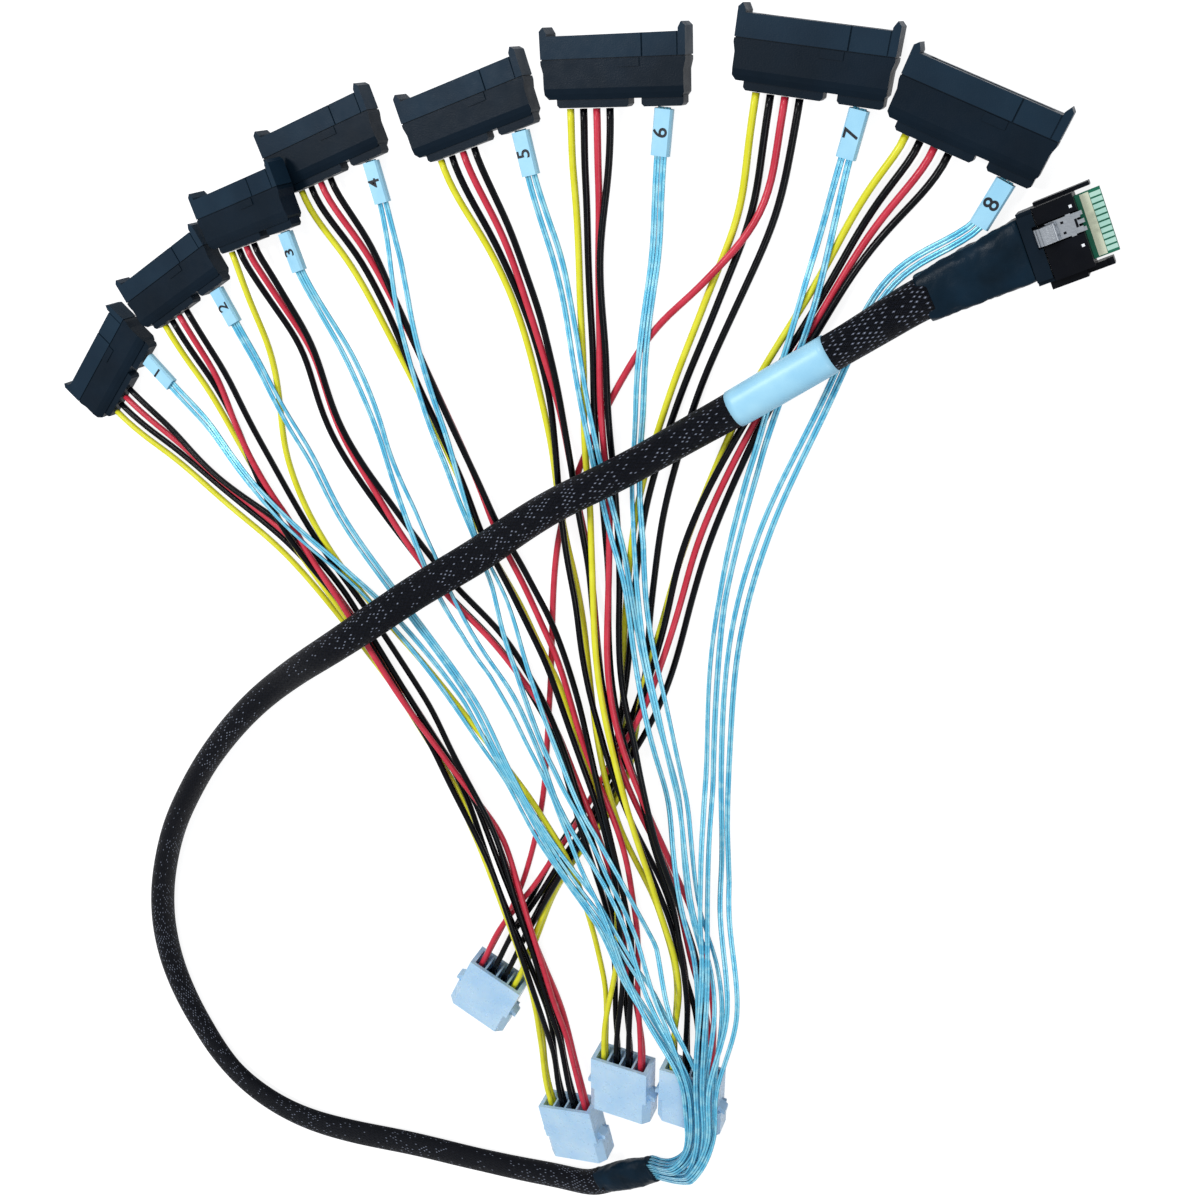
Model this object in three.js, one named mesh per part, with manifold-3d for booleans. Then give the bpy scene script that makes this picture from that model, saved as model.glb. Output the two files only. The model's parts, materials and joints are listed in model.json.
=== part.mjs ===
// Breakout cable: one host plug, a sleeved trunk, and eight drive ends with four power plugs.
// Millimetres, +Z up, lying on a flat surface at z = 0.
import * as THREE from "three";
import Module from "manifold-3d";

const wasm = await Module();
wasm.setup();

// Clearances
const SEAT_GAP = 0.3;
const STACK_GAP = 0.35;
const TERMINAL_GAP = 0.4;

// Drive end, local x across, local y towards the drive
const DRIVE_WIDTH = 42;
const DRIVE_THICK = 6.4;
const STRIP_DEPTH = 5.9;
const BODY_DEPTH = 10.2;
const BOSS_DEPTH = 2.2;
const ARM_WIDTH = 2;
const ARM_REACH = 2.3;
const SLOT_HEIGHT = 1.9;
const SLOT_DEPTH = 4.7;
const SLOT_LEFT = -16.4;
const SLOT_RIGHT = 16.6;
const SPLIT_X = 8.8;
const GROOVE = 0.45;
const KEY_LEFT = 1.8;
const KEY_RIGHT = 8;
const KEY_DEPTH = 2.1;
const KEY_RISE = 0.25;
const POWER_BOSS = [-17.2, 4.2];
const SIGNAL_BOSS = [7.9, 19.9];
const BOSS_INSET = 1;
const WIRE_EXIT_X = -14;
const WIRE_EXIT_PITCH = 3.95;
const RIBBON_EXIT_X = 13.8;

// Port label sleeve
const LABEL_LENGTH = 12.2;
const LABEL_OFFSET = 0.4;
const LABEL_WIDTH = 5.3;
const LABEL_THICK = 2.7;
const LABEL_WALL = 0.45;

// Power plug, local y towards the mating end
const PLUG_WIDTH = 22.8;
const PLUG_THICK = 10;
const PLUG_LENGTH = 25.5;
const PLUG_REAR = 14.6;
const SHROUD_WIDTH = 25;
const SHROUD_WALL = 1.1;
const SHROUD_CHAMFER = 2.6;
const CONTACT_PITCH = 5.08;
const CAVITY_WIDTH = 4.3;
const CAVITY_HEIGHT = 7.4;
const CAVITY_DEPTH = 12.6;
const EAR_REACH = 1.5;
const PIN_RADIUS = 1.05;
const CRIMP_RADIUS = 1.6;
const CRIMP_DEPTH = 6;
const PIN_DEPTH = 23;

// Wires and ribbons
const WIRE_RADIUS = 1.05;
const WIRE_PITCH = 2.6;
const WIRE_SIDES = 8;
const WIRE_STEPS = 12;
const RIBBON_WIDTH = 3.7;
const RIBBON_THICK = 1.1;
const RIBBON_STEPS = 12;
const LAYER_PITCH = 1.5;
const COLUMN_OFFSET = 2.1;
const LANE_PITCH = 4.2;
const MAX_SLOPE = 0.22;

// Host plug, local x towards the mating end
const HOST_AT = [118.9, 120.8];
const HOST_TURN = 26;
const HOST_LENGTH = 13.9;
const HOST_WIDTH = 18.8;
const HOST_THICK = 7.8;
const HOST_REAR_DEPTH = 4.2;
const RAIL_WIDTH = 1.7;
const RAIL_HEIGHT = 3.2;
const RAIL_REACH = 4;
const CARD_WIDTH = 16.3;
const CARD_THICK = 1;
const CARD_REACH = 6;
const CARD_DEPTH = 8;
const LATCH_SHIFT = 2.2;
const LATCH_WIDTH = 5;
const LATCH_THICK = 0.4;
const LATCH_BAY = 1.5;
const TAB_RADIUS = 1.5;

// Boot, trunk and collar
const BOOT_LENGTH = 28;
const BOOT_RADIUS_WIDE = 8.6;
const BOOT_RADIUS_NARROW = 6.7;
const BOOT_FLAT = 0.47;
const TRUNK_WIDTH = 12.2;
const TRUNK_THICK = 6.2;
const TRUNK_SIDES = 12;
const TRUNK_LABEL_LENGTH = 34;
const TRUNK_LABEL_WALL = 0.5;
const COLLAR_LENGTH = 28;
const COLLAR_WIDTH = 12.8;
const COLLAR_THICK = 8;

// Solids
function solid(geometry) {
  const flat = geometry.index ? geometry.toNonIndexed() : geometry;
  const at = flat.getAttribute("position");
  const seen = new Map();
  const points = [];
  const corners = [];
  for (let i = 0; i < at.count; i++) {
    const p = [at.getX(i), at.getY(i), at.getZ(i)].map((v) => Math.round(v * 1e4) / 1e4);
    const key = p.join();
    if (!seen.has(key)) {
      seen.set(key, points.length / 3);
      points.push(...p);
    }
    corners.push(seen.get(key));
  }
  const faces = [];
  for (let i = 0; i < corners.length; i += 3) {
    const [a, b, c] = corners.slice(i, i + 3);
    if (a !== b && b !== c && a !== c) faces.push(a, b, c);
  }
  return new wasm.Manifold(
    new wasm.Mesh({
      numProp: 3,
      vertProperties: new Float32Array(points),
      triVerts: new Uint32Array(faces),
    }),
  );
}

function geometryOf(body) {
  const m = body.getMesh();
  const at = new Float32Array(m.numVert * 3);
  for (let i = 0; i < m.numVert; i++) {
    at.set(m.vertProperties.subarray(i * m.numProp, i * m.numProp + 3), i * 3);
  }
  const g = new THREE.BufferGeometry();
  g.setAttribute("position", new THREE.BufferAttribute(at, 3));
  g.setIndex(new THREE.BufferAttribute(m.triVerts, 1));
  g.computeVertexNormals();
  return g;
}

function box(x0, x1, y0, y1, z0, z1) {
  const g = new THREE.BoxGeometry(x1 - x0, y1 - y0, z1 - z0);
  return solid(g.translate((x0 + x1) / 2, (y0 + y1) / 2, (z0 + z1) / 2));
}

// A plan outline raised from z0 to z1.
function slab(outline, z0, z1) {
  const shape = new THREE.Shape(outline.map(([x, y]) => new THREE.Vector2(x, y)));
  const g = new THREE.ExtrudeGeometry(shape, { depth: z1 - z0, bevelEnabled: false });
  return solid(g.translate(0, 0, z0));
}

// A side outline in y and z, run across from x0 to x1.
function across(outline, x0, x1) {
  const shape = new THREE.Shape(outline.map(([y, z]) => new THREE.Vector2(y, z)));
  const g = new THREE.ExtrudeGeometry(shape, { depth: x1 - x0, bevelEnabled: false });
  g.applyMatrix4(new THREE.Matrix4().set(0, 0, 1, x0, 1, 0, 0, 0, 0, 1, 0, 0, 0, 0, 0, 1));
  return solid(g);
}

// A front outline in x and z, run from y0 to y1.
function along(outline, y0, y1) {
  const shape = new THREE.Shape(outline.map(([x, z]) => new THREE.Vector2(x, -z)));
  const g = new THREE.ExtrudeGeometry(shape, { depth: y1 - y0, bevelEnabled: false });
  g.rotateX(-Math.PI / 2);
  return solid(g.translate(0, y0, 0));
}

function rodAlongY(radius, x, z, y0, y1, sides = 12) {
  const g = new THREE.CylinderGeometry(radius, radius, y1 - y0, sides);
  return solid(g.translate(x, (y0 + y1) / 2, z));
}

const join = (parts) => wasm.Manifold.union(parts);
const cut = (body, tools) => tools.reduce((left, tool) => left.subtract(tool), body);

// Placement of a local frame: plan position, turn, sideways tilt about its left edge, height
function placed(x, y, turn, tilt = 0, pivot = 0) {
  const m = new THREE.Matrix4().makeTranslation(x, y, 0);
  m.multiply(new THREE.Matrix4().makeRotationZ(THREE.MathUtils.degToRad(turn)));
  m.multiply(new THREE.Matrix4().makeTranslation(pivot, 0, 0));
  m.multiply(new THREE.Matrix4().makeRotationY(THREE.MathUtils.degToRad(-tilt)));
  m.multiply(new THREE.Matrix4().makeTranslation(-pivot, 0, 0));
  return m;
}
const at = (frame, x, y, z) => new THREE.Vector3(x, y, z).applyMatrix4(frame);

// Where each drive end lies: strip line centre, turn, tilt, and how far its label swings.
// The places suit ends 42 mm wide; ends of another width stand as far apart for their size.
const DRIVES = [
  { x: -190.4, y: 61.7, turn: 50, tilt: 0, yaw: -3 },
  { x: -156.2, y: 94.6, turn: 31.3, tilt: 0, yaw: -2 },
  { x: -118.6, y: 120.6, turn: 19, tilt: 11.3, yaw: 0 },
  { x: -91.3, y: 141, turn: 21.4, tilt: 0, yaw: -6 },
  { x: -40.5, y: 151.9, turn: 19.4, tilt: 0, yaw: -5 },
  { x: 5.9, y: 163.8, turn: 2.6, tilt: 0, yaw: -7 },
  { x: 60.9, y: 167, turn: -6.2, tilt: 0, yaw: -6 },
  { x: 103, y: 153.8, turn: -20.5, tilt: 0, yaw: -5 },
];
const spread = DRIVE_WIDTH / 42;
const lastDrive = DRIVES[DRIVES.length - 1];
const driveFrames = DRIVES.map((d) => {
  const x = lastDrive.x + (d.x - lastDrive.x) * spread;
  const y = lastDrive.y + (d.y - lastDrive.y) * spread;
  return placed(x, y, d.turn, d.tilt, -DRIVE_WIDTH / 2);
});

// Where each power plug lies: entry face centre, mating direction, contact order reversed or not
const PLUGS = {
  a: { x: -40, y: -164.6, turn: 156, flip: true },
  b: { x: -11.6, y: -221.9, turn: -167, flip: false },
  c: { x: 11.8, y: -190, turn: 180, flip: false },
  d: { x: 39.8, y: -184.6, turn: 180, flip: false },
};
const plugFrames = Object.fromEntries(
  Object.entries(PLUGS).map(([name, p]) => [name, placed(p.x, p.y, p.turn)]),
);

// Plan routes of each drive end's power leads, from the exit stub to the plug stub
const LEAD_ROUTES = [
  {
    plug: "b",
    via: [[-150, 20], [-119, 0], [-94, -27], [-66, -67], [-45, -101], [-29, -140], [-21, -168],
      [-17, -196]],
  },
  {
    plug: "b",
    via: [[-145, 60], [-131, 32], [-114, 3], [-90, -27], [-63, -67], [-42, -101], [-27, -140],
      [-20, -168], [-16, -196]],
  },
  {
    plug: "c",
    via: [[-105, 74], [-94, 41], [-63, 0], [-37, -24], [-15, -53], [0, -94], [6, -130], [9, -162]],
  },
  {
    plug: "c",
    via: [[-80, 104], [-61, 68], [-46, 37], [-37, 15], [-20, -13], [-5, -44], [9, -84], [12, -125],
      [12, -160]],
  },
  {
    plug: "d",
    via: [[-31, 111], [-20, 85], [-12, 55], [-8, 30], [-4, 0], [2, -30], [14, -75], [27, -115],
      [36, -150]],
  },
  {
    plug: "d",
    via: [[-2, 110], [0, 75], [2, 40], [5, 10], [9, -25], [20, -70], [31, -112], [39, -150]],
  },
  {
    plug: "a",
    via: [[47, 125], [38, 100], [26, 68], [17, 35], [14, 0], [12, -30], [2, -70], [-14, -104],
      [-30, -140]],
  },
  {
    plug: "a",
    via: [[76, 122], [62, 95], [46, 62], [32, 25], [24, -12], [16, -42], [3, -76], [-15, -110],
      [-31, -142]],
  },
];
// The two long loops that leave their group: the third end's yellow and the seventh end's red
const OWN_ROUTES = {
  "3y": [[-120, 66], [-118, 31], [-102, -1], [-66, -39], [-40, -69], [-22, -86], [-7, -108], [0, -142],
    [4, -165]],
  "7r": [[48, 126], [32, 106], [14, 86], [-5, 46], [-15, 13], [-19, -40], [-23, -80], [-31, -118],
    [-38, -140]],
};

// Plan routes of the signal ribbons, from the label end to the shared fan before the collar
const RIBBON_ROUTES = [
  [[-140, 33], [-114, 8], [-87, -15], [-57, -46], [-31, -83], [1, -123], [22, -154]],
  [[-110, 38], [-98, 14], [-80, -9], [-52, -42], [-26, -80], [5, -121], [26, -153]],
  [[-86, 75], [-76, 36], [-62, 7], [-47, -22], [-22, -65], [7, -115], [24, -148]],
  [[-65, 84], [-56, 52], [-46, 22], [-36, -3], [-15, -51], [9, -98], [29, -147]],
  [[-11, 103], [-4, 72], [3, 40], [12, 6], [22, -38], [33, -98], [41, -146]],
  [[17, 105], [14, 66], [14, 34], [19, 0], [28, -38], [38, -95], [45, -146]],
  [[63, 103], [54, 69], [46, 34], [41, -5], [40, -55], [42, -110], [43, -146]],
  [[98, 119.8], [90.3, 114.9], [83, 107], [76, 92], [70, 76], [55, 36], [47, -5], [46, -55], [48, -105],
    [49, -146]],
];
const FAN = [[44, -180], [46.5, -200], [45.5, -215], [41, -227], [32.5, -237.5]];
const FAN_RUN = 62;
const FAN_STEPS = 5;
const FAN_STUB = 3;
// Ribbons held to their first points, where they pass close beside the boot
const RIBBON_EXACT = { 7: 3 };
// Lane of each ribbon over the plugs, and its place in the stack at the collar
const LANES = [-1.5, -0.5, -1.5, -0.5, 0.5, 1.5, 0.5, 1.5];
const COLLAR_END = [25, -244.2];
const COLLAR_TURN = 216.5;

// Plan route of the trunk from the boot to the collar
const TRUNK_ROUTE = [
  [84, 99.5], [77, 94.5], [34.5, 64.5], [10, 48], [-10, 36], [-26, 24], [-42, 11], [-62, -3],
  [-80, -17], [-98, -31], [-120, -48], [-144, -69], [-165, -93], [-181, -116], [-196, -143],
  [-207, -175], [-210.5, -203], [-208, -228], [-199, -254], [-185, -275], [-166, -286], [-145, -289.5],
  [-120, -287], [-90, -281], [-60, -276.5], [-34, -272], [-14, -267.5],
];
const BOOT_TURN = 210;

// A smooth plan curve through the points, as close-set points with their run lengths.
function smoothPlan(points) {
  const out = [];
  const n = points.length;
  const get = (i) => points[Math.min(n - 1, Math.max(0, i))];
  for (let i = 0; i < n - 1; i++) {
    const [a, b, c, d] = [get(i - 1), get(i), get(i + 1), get(i + 2)];
    for (let k = 0; k < 16; k++) {
      const t = k / 16;
      out.push([0, 1].map((j) => 0.5 * (2 * b[j] + (c[j] - a[j]) * t
        + (2 * a[j] - 5 * b[j] + 4 * c[j] - d[j]) * t * t
        + (3 * b[j] - a[j] - 3 * c[j] + d[j]) * t * t * t)));
    }
  }
  out.push([...points[n - 1]]);
  return out;
}

function runLengths(points) {
  const run = [0];
  for (let i = 1; i < points.length; i++) {
    run.push(run[i - 1] + Math.hypot(points[i][0] - points[i - 1][0], points[i][1] - points[i - 1][1]));
  }
  return run;
}

function pointAt(points, run, s) {
  let i = 1;
  while (i < points.length - 1 && run[i] < s) i++;
  const t = (s - run[i - 1]) / (run[i] - run[i - 1]);
  return [0, 1].map((j) => points[i - 1][j] + (points[i][j] - points[i - 1][j]) * t);
}

const ease = (t) => {
  const c = Math.min(1, Math.max(0, t));
  return c * c * (3 - 2 * c);
};

// The plan curve shifted sideways by an amount that depends on the run length.
function shifted(points, amount) {
  const run = runLengths(points);
  const total = run[run.length - 1];
  return points.map((p, i) => {
    const a = points[Math.max(0, i - 1)];
    const b = points[Math.min(points.length - 1, i + 1)];
    const length = Math.hypot(b[0] - a[0], b[1] - a[1]);
    const o = amount(run[i], total);
    return [p[0] - ((b[1] - a[1]) / length) * o, p[1] + ((b[0] - a[0]) / length) * o];
  });
}

// Corner points on a plan curve, closer together over its last stretch.
function spaced(points, steps, tail, tailSteps) {
  const run = runLengths(points);
  const main = run[run.length - 1] - tail;
  const part = (from, length, count) =>
    Array.from({ length: count }, (_, i) => pointAt(points, run, from + (length * i) / count));
  return [...part(0, main, steps), ...part(main, tail, tailSteps)];
}

// Evenly spaced corner points on a plan curve.
function evenly(points, steps) {
  const run = runLengths(points);
  const total = run[run.length - 1];
  return Array.from({ length: steps + 1 }, (_, i) => pointAt(points, run, (total * i) / steps));
}

// Cords are laid one on another: each corner is raised until its run clears all that lies below.
const laid = [];
const blocks = [];

function lay(plan, ends, halfWidth, halfThick, skip = "") {
  const held = 2;
  const n = plan.length;
  const run = runLengths(plan);
  const low = halfThick + 0.08;
  const z = plan.map((_, i) => {
    const a = ends[0] - MAX_SLOPE * Math.max(0, run[i] - run[1]);
    const b = ends[1] - MAX_SLOPE * Math.max(0, run[n - held] - run[i]);
    return Math.max(low, a, b);
  });
  const raise = (i, h) => {
    if (i > 1 && i < n - held) z[i] = Math.max(z[i], h);
    if (i > 0 && i + 1 < n - held) z[i + 1] = Math.max(z[i + 1], h);
  };
  for (let i = 0; i < n - 1; i++) {
    const length = run[i + 1] - run[i];
    const parts = Math.max(2, Math.ceil(length / 1.5));
    for (let k = 0; k <= parts; k++) {
      const t = k / parts;
      const x = plan[i][0] + (plan[i + 1][0] - plan[i][0]) * t;
      const y = plan[i][1] + (plan[i + 1][1] - plan[i][1]) * t;
      for (const b of blocks) {
        if (b.name === skip) continue;
        const dx = x - b.x;
        const dy = y - b.y;
        const u = Math.abs(dx * b.c + dy * b.s);
        const v = Math.abs(dy * b.c - dx * b.s);
        const reach = halfWidth + 0.5;
        if (u < b.halfX + reach && v < b.halfY + reach) raise(i, b.top + halfThick + 0.4);
      }
      for (const q of laid) {
        const wide = halfWidth + q.halfWidth + STACK_GAP;
        if (x < q.low[0] - wide || x > q.high[0] + wide) continue;
        if (y < q.low[1] - wide || y > q.high[1] + wide) continue;
        const power = q.flat || halfWidth > 1.5 ? 6 : 2;
        for (let j = 0; j < q.points.length - 1; j++) {
          const [p0, p1] = [q.points[j], q.points[j + 1]];
          const ex = p1[0] - p0[0];
          const ey = p1[1] - p0[1];
          const f = Math.min(1, Math.max(0, ((x - p0[0]) * ex + (y - p0[1]) * ey) / (ex * ex + ey * ey)));
          const d = Math.hypot(x - p0[0] - ex * f, y - p0[1] - ey * f);
          if (d >= wide) continue;
          const high = p0[2] + (p1[2] - p0[2]) * f;
          const hump = Math.pow(1 - Math.pow(d / wide, power), 1 / power);
          raise(i, high + (halfThick + q.halfThick + STACK_GAP) * hump);
        }
      }
    }
  }
  for (let i = 2; i < n - held; i++) z[i] = Math.max(z[i], z[i - 1] - MAX_SLOPE * (run[i] - run[i - 1]));
  for (let i = n - held - 1; i > 1; i--) z[i] = Math.max(z[i], z[i + 1] - MAX_SLOPE * (run[i + 1] - run[i]));
  return plan.map((p, i) => [p[0], p[1], z[i]]);
}

function keep(points, halfWidth, halfThick) {
  const xs = points.map((p) => p[0]);
  const ys = points.map((p) => p[1]);
  laid.push({
    points,
    halfWidth,
    halfThick,
    flat: halfWidth > 1.5,
    low: [Math.min(...xs), Math.min(...ys)],
    high: [Math.max(...xs), Math.max(...ys)],
  });
}

// A cord's centreline, straight between its corner points.
class Corners extends THREE.Curve {
  constructor(points) {
    super();
    this.points = points.map((p) => new THREE.Vector3(...p));
  }
  getPoint(t) {
    const n = this.points.length - 1;
    const i = Math.min(n - 1, Math.floor(t * n + 1e-9));
    return this.points[i].clone().lerp(this.points[i + 1], t * n - i);
  }
  getPointAt(t) {
    return this.getPoint(t);
  }
  getTangentAt(t) {
    return this.getTangent(t);
  }
}

// An even section, thick by wide, swept along the corner points.
function swept(points, halfThick, halfWidth, sides) {
  const outline = Array.from({ length: sides }, (_, i) => {
    const turn = ((i + 0.5) / sides) * 2 * Math.PI;
    const grow = 1 / Math.cos(Math.PI / sides);
    return new THREE.Vector2(halfThick * Math.cos(turn) * grow, halfWidth * Math.sin(turn) * grow);
  });
  return sweptOutline(points, outline);
}

function sweptOutline(points, outline) {
  return solid(
    new THREE.ExtrudeGeometry(new THREE.Shape(outline), {
      steps: points.length - 1,
      extrudePath: new Corners(points),
      bevelEnabled: false,
    }),
  );
}

function ribbonOutline() {
  const h = RIBBON_THICK / 2;
  const w = RIBBON_WIDTH / 2;
  const c = h * 0.55;
  const outline = [
    [h, w - c], [h - c, w], [c - h, w], [-h, w - c],
    [-h, c - w], [c - h, -w], [h - c, -w], [h, c - w],
  ];
  return outline.map(([x, y]) => new THREE.Vector2(x, y));
}

// Materials
const material = (name, color, more = {}) =>
  new THREE.MeshStandardMaterial({ name, color, roughness: 0.5, metalness: 0, ...more });
const SHADES = {
  housing_black: 0x182836,
  shell_black: 0x111d29,
  label_blue: 0xa9dcf2,
  nylon_clear: 0xb4d4ec,
  wire_yellow: 0xe6dc2e,
  wire_black: 0x14181d,
  wire_red: 0xc43a4c,
  ribbon_blue: 0x55b4dc,
  host_black: 0x0c1119,
  board_green: 0x0f4a3a,
  latch_steel: 0xb9bfc6,
  shrink_black: 0x162330,
  sleeve_black: 0x171c26,
};

const group = new THREE.Group();
const cordNames = new Set();
function add(name, body, slot, frame = null, cord = false) {
  const mesh = new THREE.Mesh(geometryOf(body), material(slot, SHADES[slot]));
  mesh.name = name;
  if (frame) mesh.applyMatrix4(frame);
  if (cord) cordNames.add(name);
  group.add(mesh);
}

// Drive receptacle: a strip with a mating slot, two guide arms and the split line
function receptacle() {
  const w = DRIVE_WIDTH / 2;
  const front = STRIP_DEPTH;
  const inner = w - ARM_WIDTH;
  const outline = [
    [-w, SEAT_GAP / 2], [w, SEAT_GAP / 2],
    [w, front + ARM_REACH * 0.55], [w - ARM_WIDTH * 0.55, front + ARM_REACH],
    [inner - 0.1, front + ARM_REACH * 0.3], [inner - 0.1, front],
    [-inner + 0.1, front], [-inner + 0.1, front + ARM_REACH * 0.3],
    [-w + ARM_WIDTH * 0.55, front + ARM_REACH], [-w, front + ARM_REACH * 0.55],
  ];
  const mid = DRIVE_THICK / 2;
  return cut(slab(outline, 0, DRIVE_THICK), [
    box(SLOT_LEFT, SLOT_RIGHT, front - SLOT_DEPTH, front + 1, mid - SLOT_HEIGHT / 2, mid + SLOT_HEIGHT / 2),
    box(SLOT_LEFT, SLOT_LEFT + 1.6, front - SLOT_DEPTH, front + 1, mid - SLOT_HEIGHT / 2 - 1, mid),
    box(SPLIT_X - GROOVE / 2, SPLIT_X + GROOVE / 2, -1, front + 1, DRIVE_THICK - GROOVE, DRIVE_THICK + 1),
    box(inner - 0.4, inner, -1, front + 1, DRIVE_THICK - GROOVE * 0.7, DRIVE_THICK + 1),
  ]);
}

// Backshell: the rear body with a stepped back edge, its key pad and the two wire bosses
function backshell() {
  const w = DRIVE_WIDTH / 2;
  const y = -SEAT_GAP / 2;
  const t = DRIVE_THICK;
  const side = [
    [y, 0], [y, t], [-BODY_DEPTH * 0.72, t], [-BODY_DEPTH * 0.86, t - 0.35],
    [-BODY_DEPTH, t - 1], [-BODY_DEPTH, 0],
  ];
  const waist = [
    [-w, y], [-w, y - 1], [-w + 0.6, y - 3.2], [-w + 0.6, -BODY_DEPTH + 1.2], [-w + 1.6, -BODY_DEPTH],
    [w - 1.6, -BODY_DEPTH], [w - 0.6, -BODY_DEPTH + 1.2], [w - 0.6, y - 3.2], [w, y - 1], [w, y],
  ];
  const body = across(side, -w, w).intersect(slab(waist, -1, t + 1));
  const boss = ([x0, x1]) => {
    const back = -BODY_DEPTH - BOSS_DEPTH;
    const plan = [
      [x0, -BODY_DEPTH + 0.5], [x0, back + 0.7], [x0 + 0.7, back],
      [x1 - 0.7, back], [x1, back + 0.7], [x1, -BODY_DEPTH + 0.5],
    ];
    return slab(plan, BOSS_INSET, t - BOSS_INSET - 0.3);
  };
  const key = box(KEY_LEFT, KEY_RIGHT, y - KEY_DEPTH, y, t - 1, t + KEY_RISE);
  return join([body, boss(POWER_BOSS), boss(SIGNAL_BOSS), key]);
}

// Port label: a flat sleeve around the ribbon
function portLabel() {
  const w = LABEL_WIDTH / 2;
  const h = LABEL_THICK / 2;
  const y1 = -LABEL_OFFSET;
  const y0 = y1 - LABEL_LENGTH;
  const outer = [[-w, -h * 0.5], [-w + 0.5, -h], [w - 0.5, -h], [w, -h * 0.5], [w, h * 0.5], [w - 0.5, h],
    [-w + 0.5, h], [-w, h * 0.5]];
  const inner = box(-w + LABEL_WALL, w - LABEL_WALL, y0 - 1, y1 + 1, -h + LABEL_WALL, h - LABEL_WALL);
  return along(outer, y0, y1).subtract(inner);
}

// Power plug housing: four rear cavities, a web with pin holes and a mating shroud
function powerPlug() {
  const w = PLUG_WIDTH / 2;
  const s = SHROUD_WIDTH / 2;
  const c = SHROUD_CHAMFER;
  const top = PLUG_THICK;
  const shroudOutline = (inset) => [
    [-s + inset, inset], [s - inset, inset], [s - inset, top - c],
    [s - c, top - inset], [-s + c, top - inset], [-s + inset, top - c],
  ];
  const rear = box(-w, w, 0, PLUG_REAR + 0.5, 0, top);
  const shroud = along(shroudOutline(0), PLUG_REAR, PLUG_LENGTH);
  const ear = (side) => {
    const plan = [[side * (w - 1), PLUG_REAR - 3.4], [side * (w + EAR_REACH + 1), PLUG_REAR - 0.9],
      [side * (w + EAR_REACH + 1), PLUG_REAR + 0.6], [side * (w - 1), PLUG_REAR + 0.6]];
    return slab(side < 0 ? plan.reverse() : plan, top * 0.3, top * 0.7);
  };
  const tools = [along(shroudOutline(SHROUD_WALL), PLUG_REAR + 0.4, PLUG_LENGTH + 1)];
  for (let i = 0; i < 4; i++) {
    const x = (i - 1.5) * CONTACT_PITCH;
    const [x0, x1] = [x - CAVITY_WIDTH / 2, x + CAVITY_WIDTH / 2];
    tools.push(box(x0, x1, -1, CAVITY_DEPTH, (top - CAVITY_HEIGHT) / 2, (top + CAVITY_HEIGHT) / 2));
    tools.push(rodAlongY(PIN_RADIUS + TERMINAL_GAP, x, top / 2, CAVITY_DEPTH - 1, PLUG_REAR + 1, 8));
  }
  return cut(join([rear, shroud, ear(-1), ear(1)]), tools);
}

driveFrames.forEach((frame, i) => {
  add(`drive_receptacle_${i + 1}`, receptacle(), "housing_black", frame);
  add(`drive_backshell_${i + 1}`, backshell(), "shell_black", frame);
});
for (const [name, frame] of Object.entries(plugFrames)) {
  add(`power_plug_${name}`, powerPlug(), "nylon_clear", frame);
}

// What cords must pass over: the plugs and the drive ends
for (const [name, p] of Object.entries(PLUGS)) {
  const middle = at(plugFrames[name], 0, PLUG_LENGTH / 2, 0);
  const turn = THREE.MathUtils.degToRad(p.turn);
  blocks.push({
    name,
    x: middle.x,
    y: middle.y,
    c: Math.cos(turn),
    s: Math.sin(turn),
    halfX: SHROUD_WIDTH / 2 + EAR_REACH,
    halfY: PLUG_LENGTH / 2,
    top: PLUG_THICK,
  });
}

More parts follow.
